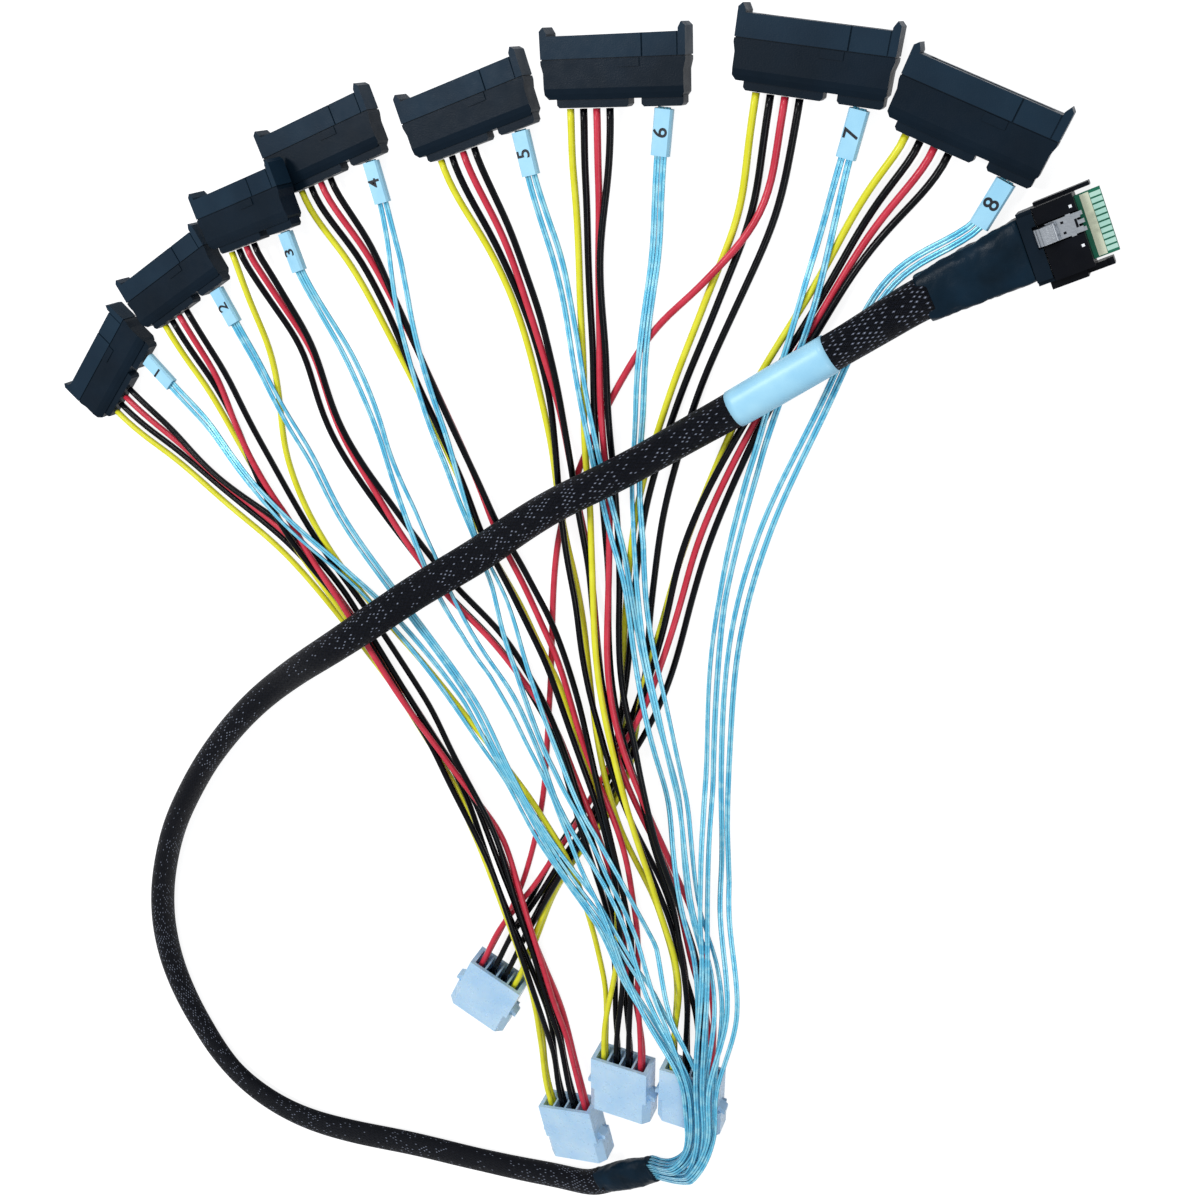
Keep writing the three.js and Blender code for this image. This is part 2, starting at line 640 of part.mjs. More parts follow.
// Power leads: four from each drive end, two of a colour crimped into each plug contact
const COLOURS = ["yellow", "black", "red", "black"];
const CONTACT_OF = [0, 1, 3, 2];
const bossBack = -BODY_DEPTH - BOSS_DEPTH - SEAT_GAP;
const leads = {};
const LAY_ORDER = [6, 7, 4, 5, 2, 3, 0, 1];
LAY_ORDER.forEach((d) => {
  const route = LEAD_ROUTES[d];
  const frame = driveFrames[d];
  const plug = PLUGS[route.plug];
  const plugFrame = plugFrames[route.plug];
  for (let k = 0; k < 4; k++) {
    const exitX = WIRE_EXIT_X + WIRE_EXIT_PITCH * k;
    const contact = plug.flip ? 3 - CONTACT_OF[k] : CONTACT_OF[k];
    const contactX = -(contact - 1.5) * CONTACT_PITCH;
    const own = OWN_ROUTES[`${d + 1}${COLOURS[k][0]}`];
    const lane = own && k !== 1 && k !== 3 ? 0 : (k - 1.5) * WIRE_PITCH;
    const start = at(frame, exitX, bossBack, DRIVE_THICK / 2);
    const stub = at(frame, exitX, bossBack - 5, DRIVE_THICK / 2);
    const before = at(plugFrame, contactX, -7, 0);
    const end = at(plugFrame, contactX, CRIMP_DEPTH + 1, 0);
    const ownPath = lane === 0;
    const order = (contact - 1.5) * WIRE_PITCH;
    const first = ownPath ? stub : at(frame, WIRE_EXIT_X + WIRE_EXIT_PITCH * 1.5, bossBack - 5, 0);
    const last = ownPath ? before : at(plugFrame, 0, -7, 0);
    const centre = smoothPlan([[first.x, first.y], ...(ownPath ? own : route.via), [last.x, last.y]]);
    const startLane = (k - 1.5) * WIRE_EXIT_PITCH;
    const endLane = (contact - 1.5) * CONTACT_PITCH;
    const plan = ownPath
      ? centre
      : shifted(centre, (s, total) => {
        const leave = ease(s / 40);
        const sorted = ease((s - total + 150) / 60);
        const arrive = ease((s - total + 45) / 45);
        return startLane + (lane - startLane) * leave + (order - lane) * sorted + (endLane - order) * arrive;
      });
    const corners = evenly(plan, WIRE_STEPS - 2);
    corners[0] = [stub.x, stub.y];
    corners[corners.length - 1] = [before.x, before.y];
    corners.unshift([start.x, start.y]);
    corners.push([end.x, end.y]);
    const level = PLUG_THICK / 2 + (d % 2 ? 1 : -1) * (WIRE_RADIUS + 0.05);
    const name = `${route.plug}${contact}`;
    const points = lay(corners, [start.z, level], WIRE_RADIUS, WIRE_RADIUS, route.plug);
    keep(points, WIRE_RADIUS, WIRE_RADIUS);
    (leads[name] ||= { plug: route.plug, contactX, colour: COLOURS[k], runs: [] }).runs.push(points);
  }
});
for (const lead of Object.values(leads)) {
  const terminal = join([
    rodAlongY(CRIMP_RADIUS, lead.contactX, PLUG_THICK / 2, CRIMP_DEPTH, CAVITY_DEPTH - SEAT_GAP, 8),
    rodAlongY(PIN_RADIUS, lead.contactX, PLUG_THICK / 2, CAVITY_DEPTH - 1, PIN_DEPTH, 8),
  ]).transform(plugFrames[lead.plug].elements);
  const body = join([...lead.runs.map((run) => swept(run, WIRE_RADIUS, WIRE_RADIUS, WIRE_SIDES)), terminal]);
  const place = Math.round(-lead.contactX / CONTACT_PITCH + 2.5);
  add(`lead_pair_${lead.plug}${place}_${lead.colour}`, body, `wire_${lead.colour}`, null, true);
}

// Signal ribbons with their port labels
const collarInFrame = placed(COLLAR_END[0], COLLAR_END[1], COLLAR_TURN);
RIBBON_ROUTES.forEach((via, d) => {
  const frame = driveFrames[d];
  const z = DRIVE_THICK / 2;
  const start = at(frame, RIBBON_EXIT_X, bossBack, z);
  const labelFrame = frame.clone();
  labelFrame.multiply(new THREE.Matrix4().makeTranslation(RIBBON_EXIT_X, bossBack, z));
  labelFrame.multiply(new THREE.Matrix4().makeRotationZ(THREE.MathUtils.degToRad(DRIVES[d].yaw)));
  const labelEnd = at(labelFrame, 0, -LABEL_OFFSET - LABEL_LENGTH - 1, 0);
  const turn = THREE.MathUtils.degToRad(COLLAR_TURN);
  const column = (d < 4 ? -1 : 1) * COLUMN_OFFSET;
  const lane = [-Math.sin(turn) * column, Math.cos(turn) * column];
  const exact = via.slice(0, RIBBON_EXACT[d] || 0);
  const from = exact.length ? exact[exact.length - 1] : [labelEnd.x, labelEnd.y];
  const centre = smoothPlan([from, ...via.slice(exact.length), ...FAN]);
  const plan = shifted(centre, (s, total) => {
    const spread = ease((s - total + 140) / 50);
    const gather = ease((s - total + 55) / 40);
    return LANES[d] * LANE_PITCH * spread * (1 - gather) + column * gather;
  });
  const corners = spaced(plan, RIBBON_STEPS, FAN_RUN, FAN_STEPS);
  corners[0] = from;
  if (exact.length) corners.unshift([labelEnd.x, labelEnd.y], ...exact.slice(0, -1));
  corners.unshift([start.x, start.y]);
  for (const back of [FAN_STUB, 0]) {
    const mouth = at(collarInFrame, -back, 0, 0);
    corners.push([mouth.x + lane[0], mouth.y + lane[1]]);
  }
  const level = RIBBON_THICK / 2 + 0.5 + (d % 4) * LAYER_PITCH;
  const points = lay(corners, [z, level], RIBBON_WIDTH / 2, RIBBON_THICK / 2);
  keep(points, RIBBON_WIDTH / 2, RIBBON_THICK / 2);
  add(`signal_ribbon_${d + 1}`, sweptOutline(points, ribbonOutline()), "ribbon_blue", null, true);
  add(`port_label_${d + 1}`, portLabel(), "label_blue", labelFrame, true);
});

// Host plug
const hostFrame = placed(HOST_AT[0], HOST_AT[1], HOST_TURN);
const half = HOST_WIDTH / 2;
const cardZ = HOST_THICK * 0.45;
const bay = [LATCH_SHIFT - LATCH_WIDTH / 2 - 0.4, LATCH_SHIFT + LATCH_WIDTH / 2 + 0.4];
const hostShell = cut(
  join([
    box(HOST_REAR_DEPTH, HOST_LENGTH, -half, half, 0, HOST_THICK),
    box(HOST_REAR_DEPTH, HOST_LENGTH + RAIL_REACH, -half - RAIL_WIDTH, -half + 0.2, 0, RAIL_HEIGHT),
    box(HOST_REAR_DEPTH, HOST_LENGTH + RAIL_REACH, half - 0.2, half + RAIL_WIDTH * 0.5, 0, RAIL_HEIGHT),
  ]),
  [
    box(HOST_LENGTH - CARD_DEPTH + 2, HOST_LENGTH + 9, -CARD_WIDTH / 2 - 0.3, CARD_WIDTH / 2 + 0.3,
      cardZ - CARD_THICK / 2 - 0.3, cardZ + CARD_THICK / 2 + 0.3),
    box(HOST_REAR_DEPTH - 1, HOST_LENGTH + 1, bay[0], bay[1], HOST_THICK - LATCH_BAY, HOST_THICK + 1),
  ],
);
add("host_housing", hostShell, "host_black", hostFrame);
const hostRear = cut(box(0, HOST_REAR_DEPTH - SEAT_GAP, -half, half, 0, HOST_THICK), [
  box(-1, HOST_REAR_DEPTH, -half - 1, -half + 1, HOST_THICK - 1, HOST_THICK + 1),
  box(-1, HOST_REAR_DEPTH, half - 1, half + 1, HOST_THICK - 1, HOST_THICK + 1),
  box(HOST_REAR_DEPTH - 1.4, HOST_REAR_DEPTH, bay[0], bay[1], HOST_THICK - LATCH_BAY, HOST_THICK + 1),
]);
add("host_cover", hostRear, "shell_black", hostFrame);
add(
  "host_card",
  box(HOST_LENGTH - CARD_DEPTH + 2.3, HOST_LENGTH + CARD_REACH, -CARD_WIDTH / 2, CARD_WIDTH / 2,
    cardZ - CARD_THICK / 2, cardZ + CARD_THICK / 2),
  "board_green",
  hostFrame,
);

// Latch: a flat strip with two toothed hooks in front and a thumb tab rolled up behind
const latchLow = HOST_THICK - LATCH_BAY + 1.1;
const hinge = HOST_REAR_DEPTH + 0.6;
const tabTurns = Array.from({ length: 9 }, (_, i) => (i / 8) * Math.PI * 1.15);
const curl = (radius) => tabTurns.map((a) => [
  hinge + 1.2 - radius * Math.sin(a),
  latchLow + TAB_RADIUS - radius * Math.cos(a),
]);
const tabOutline = [...curl(TAB_RADIUS), ...curl(TAB_RADIUS - LATCH_THICK).reverse()];
const latchStrip = box(
  hinge + 1.1, HOST_LENGTH - 0.6, -LATCH_WIDTH / 2, LATCH_WIDTH / 2, latchLow, latchLow + LATCH_THICK,
);
const tab = across(tabOutline, -LATCH_WIDTH * 0.42, LATCH_WIDTH * 0.42).transform(
  new THREE.Matrix4().set(0, 1, 0, 0, 1, 0, 0, 0, 0, 0, 1, 0, 0, 0, 0, 1).elements,
);
const hook = (y) => {
  const x = HOST_LENGTH - 1.2;
  return box(x, x + 1.5, y - 0.6, y + 0.6, latchLow, latchLow + LATCH_THICK + 0.5);
};
const foot = box(hinge + 1.1, hinge + 2.3, -LATCH_WIDTH / 2, LATCH_WIDTH / 2, latchLow - 0.7, latchLow + 0.1);
add(
  "host_latch",
  join([latchStrip, tab, hook(-1.7), hook(1.7), foot]),
  "latch_steel",
  hostFrame.clone().multiply(new THREE.Matrix4().makeTranslation(0, LATCH_SHIFT, 0)),
);

// Boot: shrunk sleeving that narrows from the plug to the trunk
const bootFrame = placed(HOST_AT[0], HOST_AT[1], BOOT_TURN);
const bootZ = HOST_THICK / 2 + 0.15;
const bootSolid = solid(
  new THREE.CylinderGeometry(BOOT_RADIUS_NARROW, BOOT_RADIUS_WIDE, BOOT_LENGTH + 3, 24)
    .rotateZ(-Math.PI / 2)
    .scale(1, 1, BOOT_FLAT)
    .translate((BOOT_LENGTH - 3) / 2, 0, bootZ),
).transform(bootFrame.elements);
const hostBlock = box(-SEAT_GAP, 40, -30, 30, -10, 30).transform(hostFrame.elements);
add("host_boot", bootSolid.subtract(hostBlock), "shrink_black", null, true);

// Trunk, laid last over the leads and ribbons
const bootEnd = at(bootFrame, BOOT_LENGTH + SEAT_GAP, 0, 0);
const bootStub = at(bootFrame, BOOT_LENGTH + 3, 0, 0);
const collarFrame = placed(COLLAR_END[0], COLLAR_END[1], COLLAR_TURN);
const collarIn = at(collarFrame, COLLAR_LENGTH + 2 * SEAT_GAP, 0, 0);
const collarStub = at(collarFrame, COLLAR_LENGTH + 9, 0, 0);
const [rise, labelIn, labelOut, ...rest] = TRUNK_ROUTE;
const tail = evenly(smoothPlan([labelOut, ...rest, [collarStub.x, collarStub.y]]), 37);
const trunkPlan = [
  [bootEnd.x, bootEnd.y], [bootStub.x, bootStub.y], rise, labelIn, ...tail, [collarIn.x, collarIn.y],
];
const trunkRun = lay(trunkPlan, [bootZ, COLLAR_THICK / 2], TRUNK_WIDTH / 2, TRUNK_THICK / 2);
const [, , , labelFrom, labelTo] = trunkRun;
const level = Math.max(labelFrom[2], labelTo[2]) + SEAT_GAP + TRUNK_LABEL_WALL;
labelFrom[2] = level;
labelTo[2] = level;
const sleeve = swept(trunkRun, TRUNK_THICK / 2, TRUNK_WIDTH / 2, TRUNK_SIDES);
add("trunk_sleeve", sleeve, "sleeve_black", null, true);

// Trunk label: a wrap around the straight part of the trunk
const labelStart = new THREE.Vector3(...labelFrom);
const labelStop = new THREE.Vector3(...labelTo);
const labelMid = labelStart.clone().lerp(labelStop, 0.45);
const labelDirection = labelStop.clone().sub(labelStart).normalize();
const wrap = (reach, clear) => {
  const ends = [-reach, reach].map((s) => labelMid.clone().addScaledVector(labelDirection, s).toArray());
  return swept(ends, TRUNK_THICK / 2 + clear, TRUNK_WIDTH / 2 + clear, TRUNK_SIDES);
};
const outerWrap = wrap(TRUNK_LABEL_LENGTH / 2, SEAT_GAP + TRUNK_LABEL_WALL);
add("trunk_label", outerWrap.subtract(wrap(TRUNK_LABEL_LENGTH, SEAT_GAP)), "label_blue", null, true);

// Collar where the ribbons leave the sleeve
const collarEnds = [SEAT_GAP, COLLAR_LENGTH + SEAT_GAP];
const collarRun = collarEnds.map((s) => at(collarFrame, s, 0, COLLAR_THICK / 2).toArray());
const collar = swept(collarRun, COLLAR_THICK / 2, COLLAR_WIDTH / 2, 12);
add("breakout_collar", collar, "shrink_black", null, true);

// The origin is under the middle of the plugs and drive ends
const bounds = new THREE.Box3();
group.updateMatrixWorld(true);
group.children.filter((m) => !cordNames.has(m.name)).forEach((m) => bounds.expandByObject(m));
const middle = bounds.getCenter(new THREE.Vector3());
group.position.set(-middle.x, -middle.y, 0);

export default group;
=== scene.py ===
import json
import math

import bpy
import numpy as np
from mathutils import Matrix, Vector, noise


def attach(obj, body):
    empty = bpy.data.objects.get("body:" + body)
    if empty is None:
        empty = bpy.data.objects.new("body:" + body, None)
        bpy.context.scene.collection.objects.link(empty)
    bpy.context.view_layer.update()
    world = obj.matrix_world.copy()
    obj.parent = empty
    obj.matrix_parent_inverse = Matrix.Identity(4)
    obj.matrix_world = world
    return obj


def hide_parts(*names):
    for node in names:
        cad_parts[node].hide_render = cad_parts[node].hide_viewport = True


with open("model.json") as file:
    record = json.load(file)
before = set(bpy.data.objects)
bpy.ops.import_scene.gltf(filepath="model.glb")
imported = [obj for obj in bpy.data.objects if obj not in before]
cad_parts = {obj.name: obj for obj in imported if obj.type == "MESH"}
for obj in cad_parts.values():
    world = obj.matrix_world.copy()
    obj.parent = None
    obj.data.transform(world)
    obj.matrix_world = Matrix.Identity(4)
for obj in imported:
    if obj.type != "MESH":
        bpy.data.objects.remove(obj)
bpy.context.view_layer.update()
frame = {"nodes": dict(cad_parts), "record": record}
nodes = frame["nodes"]

# Sizes and places in millimetres, the same as the CAD's, from the middle of the picture.
# The frame's origin lies SHIFT away from there.
SHIFT = (34.911, 36.227)

DRIVE_WIDTH = 42
DRIVE_THICK = 6.4
STRIP_DEPTH = 5.9
BODY_DEPTH = 10.2
BOSS_DEPTH = 2.2
SEAT_GAP = 0.3
WIRE_EXIT_X = -14
WIRE_EXIT_PITCH = 3.95
RIBBON_EXIT_X = 13.8
LABEL_LENGTH = 12.2
LABEL_OFFSET = 0.4
LABEL_THICK = 2.7
PLUG_THICK = 10
PLUG_LENGTH = 25.5
SHROUD_WIDTH = 25
EAR_REACH = 1.5
CONTACT_PITCH = 5.08
CAVITY_DEPTH = 12.6
PIN_RADIUS = 1.05
CRIMP_RADIUS = 1.6
CRIMP_DEPTH = 6
PIN_DEPTH = 23
WIRE_RADIUS = 1.05
WIRE_PITCH = 2.6
RIBBON_WIDTH = 3.7
RIBBON_THICK = 1.1
LAYER_PITCH = 1.5
COLUMN_OFFSET = 2.1
LANE_PITCH = 4.2
HOST_AT = (118.9, 120.8)
HOST_TURN = 26
HOST_LENGTH = 13.9
HOST_WIDTH = 18.8
HOST_THICK = 7.8
CARD_WIDTH = 16.3
CARD_THICK = 1
CARD_REACH = 6
LATCH_SHIFT = 2.2
BOOT_LENGTH = 28
BOOT_RADIUS_WIDE = 8.6
BOOT_RADIUS_NARROW = 6.7
BOOT_FLAT = 0.47
BOOT_TURN = 210
TRUNK_WIDTH = 12.2
TRUNK_THICK = 6.2
TRUNK_LABEL_LENGTH = 34
COLLAR_LENGTH = 28
COLLAR_WIDTH = 12.8
COLLAR_THICK = 8
COLLAR_END = (25, -244.2)
COLLAR_TURN = 216.5
FAN_STUB = 3

# Strip line centre x, y, turn, tilt and label swing of each drive end
DRIVES = [
    (-190.4, 61.7, 50, 0, -3),
    (-156.2, 94.6, 31.3, 0, -2),
    (-118.6, 120.6, 19, 11.3, 0),
    (-91.3, 141, 21.4, 0, -6),
    (-40.5, 151.9, 19.4, 0, -5),
    (5.9, 163.8, 2.6, 0, -7),
    (60.9, 167, -6.2, 0, -6),
    (103, 153.8, -20.5, 0, -5),
]
# Entry face centre x, y, mating direction, and whether the contact order is reversed
PLUGS = {
    "a": (-40, -164.6, 156, True),
    "b": (-11.6, -221.9, -167, False),
    "c": (11.8, -190, 180, False),
    "d": (39.8, -184.6, 180, False),
}
# Plug and plan route of each drive end's four wires
LEAD_ROUTES = [
    ("b", [(-150, 20), (-119, 0), (-94, -27), (-66, -67), (-45, -101), (-29, -140), (-21, -168),
           (-17, -196)]),
    ("b", [(-145, 60), (-131, 32), (-114, 3), (-90, -27), (-63, -67), (-42, -101), (-27, -140), (-20, -168),
           (-16, -196)]),
    ("c", [(-105, 74), (-94, 41), (-63, 0), (-37, -24), (-15, -53), (0, -94), (6, -130), (9, -162)]),
    ("c", [(-80, 104), (-61, 68), (-46, 37), (-37, 15), (-20, -13), (-5, -44), (9, -84), (12, -125),
           (12, -160)]),
    ("d", [(-31, 111), (-20, 85), (-12, 55), (-8, 30), (-4, 0), (2, -30), (14, -75), (27, -115),
           (36, -150)]),
    ("d", [(-2, 110), (0, 75), (2, 40), (5, 10), (9, -25), (20, -70), (31, -112), (39, -150)]),
    ("a", [(47, 125), (38, 100), (26, 68), (17, 35), (14, 0), (12, -30), (2, -70), (-14, -104),
           (-30, -140)]),
    ("a", [(76, 122), (62, 95), (46, 62), (32, 25), (24, -12), (16, -42), (3, -76), (-15, -110),
           (-31, -142)]),
]
# The two long loops that leave their group
OWN_ROUTES = {
    (2, 0): [(-120, 66), (-118, 31), (-102, -1), (-66, -39), (-40, -69), (-22, -86), (-7, -108), (0, -142),
             (4, -165)],
    (6, 2): [(48, 126), (32, 106), (14, 86), (-5, 46), (-15, 13), (-19, -40), (-23, -80), (-31, -118),
             (-38, -140)],
}
RIBBON_ROUTES = [
    [(-140, 33), (-114, 8), (-87, -15), (-57, -46), (-31, -83), (1, -123), (22, -154)],
    [(-110, 38), (-98, 14), (-80, -9), (-52, -42), (-26, -80), (5, -121), (26, -153)],
    [(-86, 75), (-76, 36), (-62, 7), (-47, -22), (-22, -65), (7, -115), (24, -148)],
    [(-65, 84), (-56, 52), (-46, 22), (-36, -3), (-15, -51), (9, -98), (29, -147)],
    [(-11, 103), (-4, 72), (3, 40), (12, 6), (22, -38), (33, -98), (41, -146)],
    [(17, 105), (14, 66), (14, 34), (19, 0), (28, -38), (38, -95), (45, -146)],
    [(63, 103), (54, 69), (46, 34), (41, -5), (40, -55), (42, -110), (43, -146)],
    [(98, 119.8), (90.3, 114.9), (83, 107), (76, 92), (70, 76), (55, 36), (47, -5), (46, -55), (48, -105),
     (49, -146)],
]
# The shared end of the ribbon routes, and each ribbon's lane beside it
FAN = [(44, -180), (46.5, -200), (45.5, -215), (41, -227), (32.5, -237.5)]
LANES = [-1.5, -0.5, -1.5, -0.5, 0.5, 1.5, 0.5, 1.5]
TRUNK_ROUTE = [
    (84, 99.5), (77, 94.5), (34.5, 64.5), (10, 48), (-10, 36), (-26, 24), (-42, 11), (-62, -3),
    (-80, -17), (-98, -31), (-120, -48), (-144, -69), (-165, -93), (-181, -116), (-196, -143),
    (-207, -175), (-210.5, -203), (-208, -228), (-199, -254), (-185, -275), (-166, -286),
    (-145, -289.5), (-120, -287), (-90, -281), (-60, -276.5), (-34, -272), (-14, -267.5),
]
# The drive ends in the order in which their wires are laid, lowest first
LAY_ORDER = [6, 7, 4, 5, 2, 3, 0, 1]
COLOURS = ["yellow", "black", "red", "black"]
CONTACT_OF = [0, 1, 3, 2]

# How cords lie: point spacing, steepest slope, length of a bend, and room to the floor and to each other
STEP = 1.5
SLOPE = 0.22
BEND = 22.0
REST = 0.05
GAP = 0.12
PLUG_CLEAR = 0.2
# Outlines over WIDE_CORD, and flat ones, are crossed by a square hump, the others by a round one
WIDE_CORD = 1.5
SQUARE_HUMP = 6.0
ROUND_HUMP = 2.0
# Steepest slope near a held end, and how far inside the end it starts
END_SLOPE = 0.5
END_ROOM = 2
LEVEL_ROUNDS = 12
PLAN_ROUNDS = 14
SPAN_STEPS = 16
DRIFT_FADE = 60


def place(x, y, turn, tilt=0.0, pivot=0.0):
    """Frame at this place, turned about z and tilted about the line x = pivot."""
    return (
        Matrix.Translation((x, y, 0))
        @ Matrix.Rotation(math.radians(turn), 4, "Z")
        @ Matrix.Translation((pivot, 0, 0))
        @ Matrix.Rotation(math.radians(-tilt), 4, "Y")
        @ Matrix.Translation((-pivot, 0, 0))
    )


def at(spot, x, y, z=0.0):
    return spot @ Vector((x, y, z))


drive_spots = [place(x, y, turn, tilt, -DRIVE_WIDTH / 2) for x, y, turn, tilt, _ in DRIVES]
plug_spots = {name: place(x, y, turn) for name, (x, y, turn, _) in PLUGS.items()}
host_spot = place(*HOST_AT, HOST_TURN)
boot_spot = place(*HOST_AT, BOOT_TURN)
collar_spot = place(*COLLAR_END, COLLAR_TURN)


def metres(points):
    """Points of the layout, in the frame's metres."""
    return (np.asarray(points, float) + (SHIFT[0], SHIFT[1], 0)) / 1000


# Materials
def srgb(r, g, b):
    """Linear colour of a screen colour given from 0 to 255."""
    out = []
    for c in (r, g, b):
        c /= 255
        out.append(c / 12.92 if c <= 0.04045 else ((c + 0.055) / 1.055) ** 2.4)
    return (*out, 1.0)


class Finish:
    """A node material built up from a few common steps."""

    def __init__(self, name):
        self.material = bpy.data.materials.new(name)
        self.material.use_nodes = True
        self.tree = self.material.node_tree
        self.shader = self.tree.nodes["Principled BSDF"]
        self.normal = None

    def add(self, kind, links=(), **settings):
        node = self.tree.nodes.new(kind)
        for key, value in settings.items():
            setattr(node, key, value)
        for socket, value in links:
            self.join(node.inputs[socket], value)
        return node

    def join(self, socket, value):
        if isinstance(value, bpy.types.NodeSocket):
            self.tree.links.new(value, socket)
        else:
            socket.default_value = value

    def set(self, **values):
        for key, value in values.items():
            self.join(self.shader.inputs[key.replace("_", " ")], value)

    def noise(self, scale, detail=3.0, stretch=(1, 1, 1)):
        place_in = self.add("ShaderNodeTexCoord").outputs["Object"]
        mapping = self.add("ShaderNodeMapping", [("Vector", place_in), ("Scale", stretch)])
        settings = [("Scale", scale), ("Detail", detail), ("Roughness", 0.5)]
        node = self.add("ShaderNodeTexNoise", [("Vector", mapping.outputs["Vector"]), *settings])
        return node.outputs["Fac"]

    def math(self, operation, a, b=0.0, c=0.0):
        node = self.add("ShaderNodeMath", [(0, a), (1, b), (2, c)], operation=operation)
        return node.outputs[0]

    def ramp(self, value, low, high, to_low=0.0, to_high=1.0):
        spans = [("From Min", low), ("From Max", high), ("To Min", to_low), ("To Max", to_high)]
        return self.add("ShaderNodeMapRange", [("Value", value), *spans]).outputs["Result"]

    def mix(self, factor, a, b):
        """Colour between a and b; a Mix node's colours are its sockets 6 and 7, and come out at 2."""
        return self.add("ShaderNodeMix", [(0, factor), (6, a), (7, b)], data_type="RGBA").outputs[2]

    def bump(self, height, distance):
        """Relief, laid over the relief so far."""
        node = self.add("ShaderNodeBump", [("Height", height), ("Distance", distance), ("Strength", 1.0)])
        if self.normal:
            self.join(node.inputs["Normal"], self.normal)
        self.normal = node.outputs["Normal"]
        self.join(self.shader.inputs["Normal"], self.normal)


def moulded(name, colour, lighter, roughness):
    f = Finish(name)
    f.set(
        Base_Color=f.mix(f.ramp(f.noise(60, 4), 0.35, 0.7), srgb(*colour), srgb(*lighter)),
        Roughness=f.ramp(f.noise(300, 4), 0.3, 0.7, roughness - 0.06, roughness + 0.08),
        Specular_IOR_Level=0.1,
    )
    f.bump(f.noise(3500, 2), 0.00004)
    return f.material


def insulation(name, colour, lighter, roughness=0.3, specular=0.35):
    f = Finish(name)
    f.set(
        Base_Color=f.mix(f.ramp(f.noise(160, 3), 0.35, 0.7), srgb(*colour), srgb(*lighter)),
        Roughness=f.ramp(f.noise(900, 3), 0.3, 0.7, roughness - 0.06, roughness + 0.1),
        Specular_IOR_Level=specular,
    )
    f.bump(f.noise(700, 3), 0.00005)
    return f.material


def nylon():
    f = Finish("natural_nylon")
    f.set(
        Base_Color=f.mix(f.ramp(f.noise(90, 3), 0.3, 0.7), srgb(176, 216, 250), srgb(200, 230, 254)),
        Roughness=f.ramp(f.noise(400, 3), 0.3, 0.7, 0.24, 0.36),
        Transmission_Weight=0.12,
        Subsurface_Weight=0.25,
        Subsurface_Radius=(0.003, 0.004, 0.005),
        IOR=1.5,
    )
    f.bump(f.noise(1500, 2), 0.00003)
    return f.material


def metal(name, colour, roughness, brushed=False):
    f = Finish(name)
    f.set(Base_Color=srgb(*colour), Metallic=1.0)
    lines = f.noise(900, 3, stretch=(1, 6, 1) if brushed else (1, 1, 1))
    f.set(Roughness=f.ramp(lines, 0.3, 0.7, roughness - 0.07, roughness + 0.1))
    f.bump(lines, 0.00002)
    return f.material


def foil_ribbon():
    """Clear blue film over a foil wrap, with small pale patches, painted sheen in slow lighter stretches,
    and painted shade in each groove and along the edges.
    """
    f = Finish("ribbon_jacket")
    uv = f.add("ShaderNodeUVMap").outputs["UV"]
    across = f.add("ShaderNodeSeparateXYZ", [("Vector", uv)]).outputs["X"]
    # Painted shade: darker along the middle groove of each face and at the strip's edges
    groove_shade = f.math("ABSOLUTE", f.math("SINE", f.math("MULTIPLY", across, 4 * math.pi)))
    # Painted sheen: slow stretches of lighter tone along the strip
    slow = f.noise(22, 2)
    body = f.mix(f.ramp(slow, 0.38, 0.62), srgb(92, 192, 230), srgb(118, 210, 240))
    fine = f.ramp(f.noise(260, 3, stretch=(1, 1, 0.2)), 0.45, 0.62)
    film = f.mix(fine, body, srgb(156, 226, 246))
    f.set(
        Base_Color=f.mix(f.ramp(groove_shade, 0.12, 0.6), srgb(30, 104, 142), film),
        Roughness=f.ramp(f.noise(700, 3), 0.3, 0.7, 0.2, 0.32),
        Metallic=0.2,
    )
    f.bump(f.noise(500, 3), 0.00003)
    return f.material


def paper(name, colour, lighter):
    f = Finish(name)
    f.set(
        Base_Color=f.mix(f.ramp(f.noise(120, 3), 0.35, 0.7), srgb(*colour), srgb(*lighter)),
        Roughness=0.38,
    )
    f.bump(f.noise(500, 3), 0.00004)
    return f.material


# Bundles round the sleeve, length of a crossing in metres, filaments in a bundle, and size of a painted
# glint dash
BRAID_AROUND = 26
BRAID_LENGTH = 0.0026
FILAMENTS = 3
DASH_WIDE = 0.42
DASH_LONG = 0.55


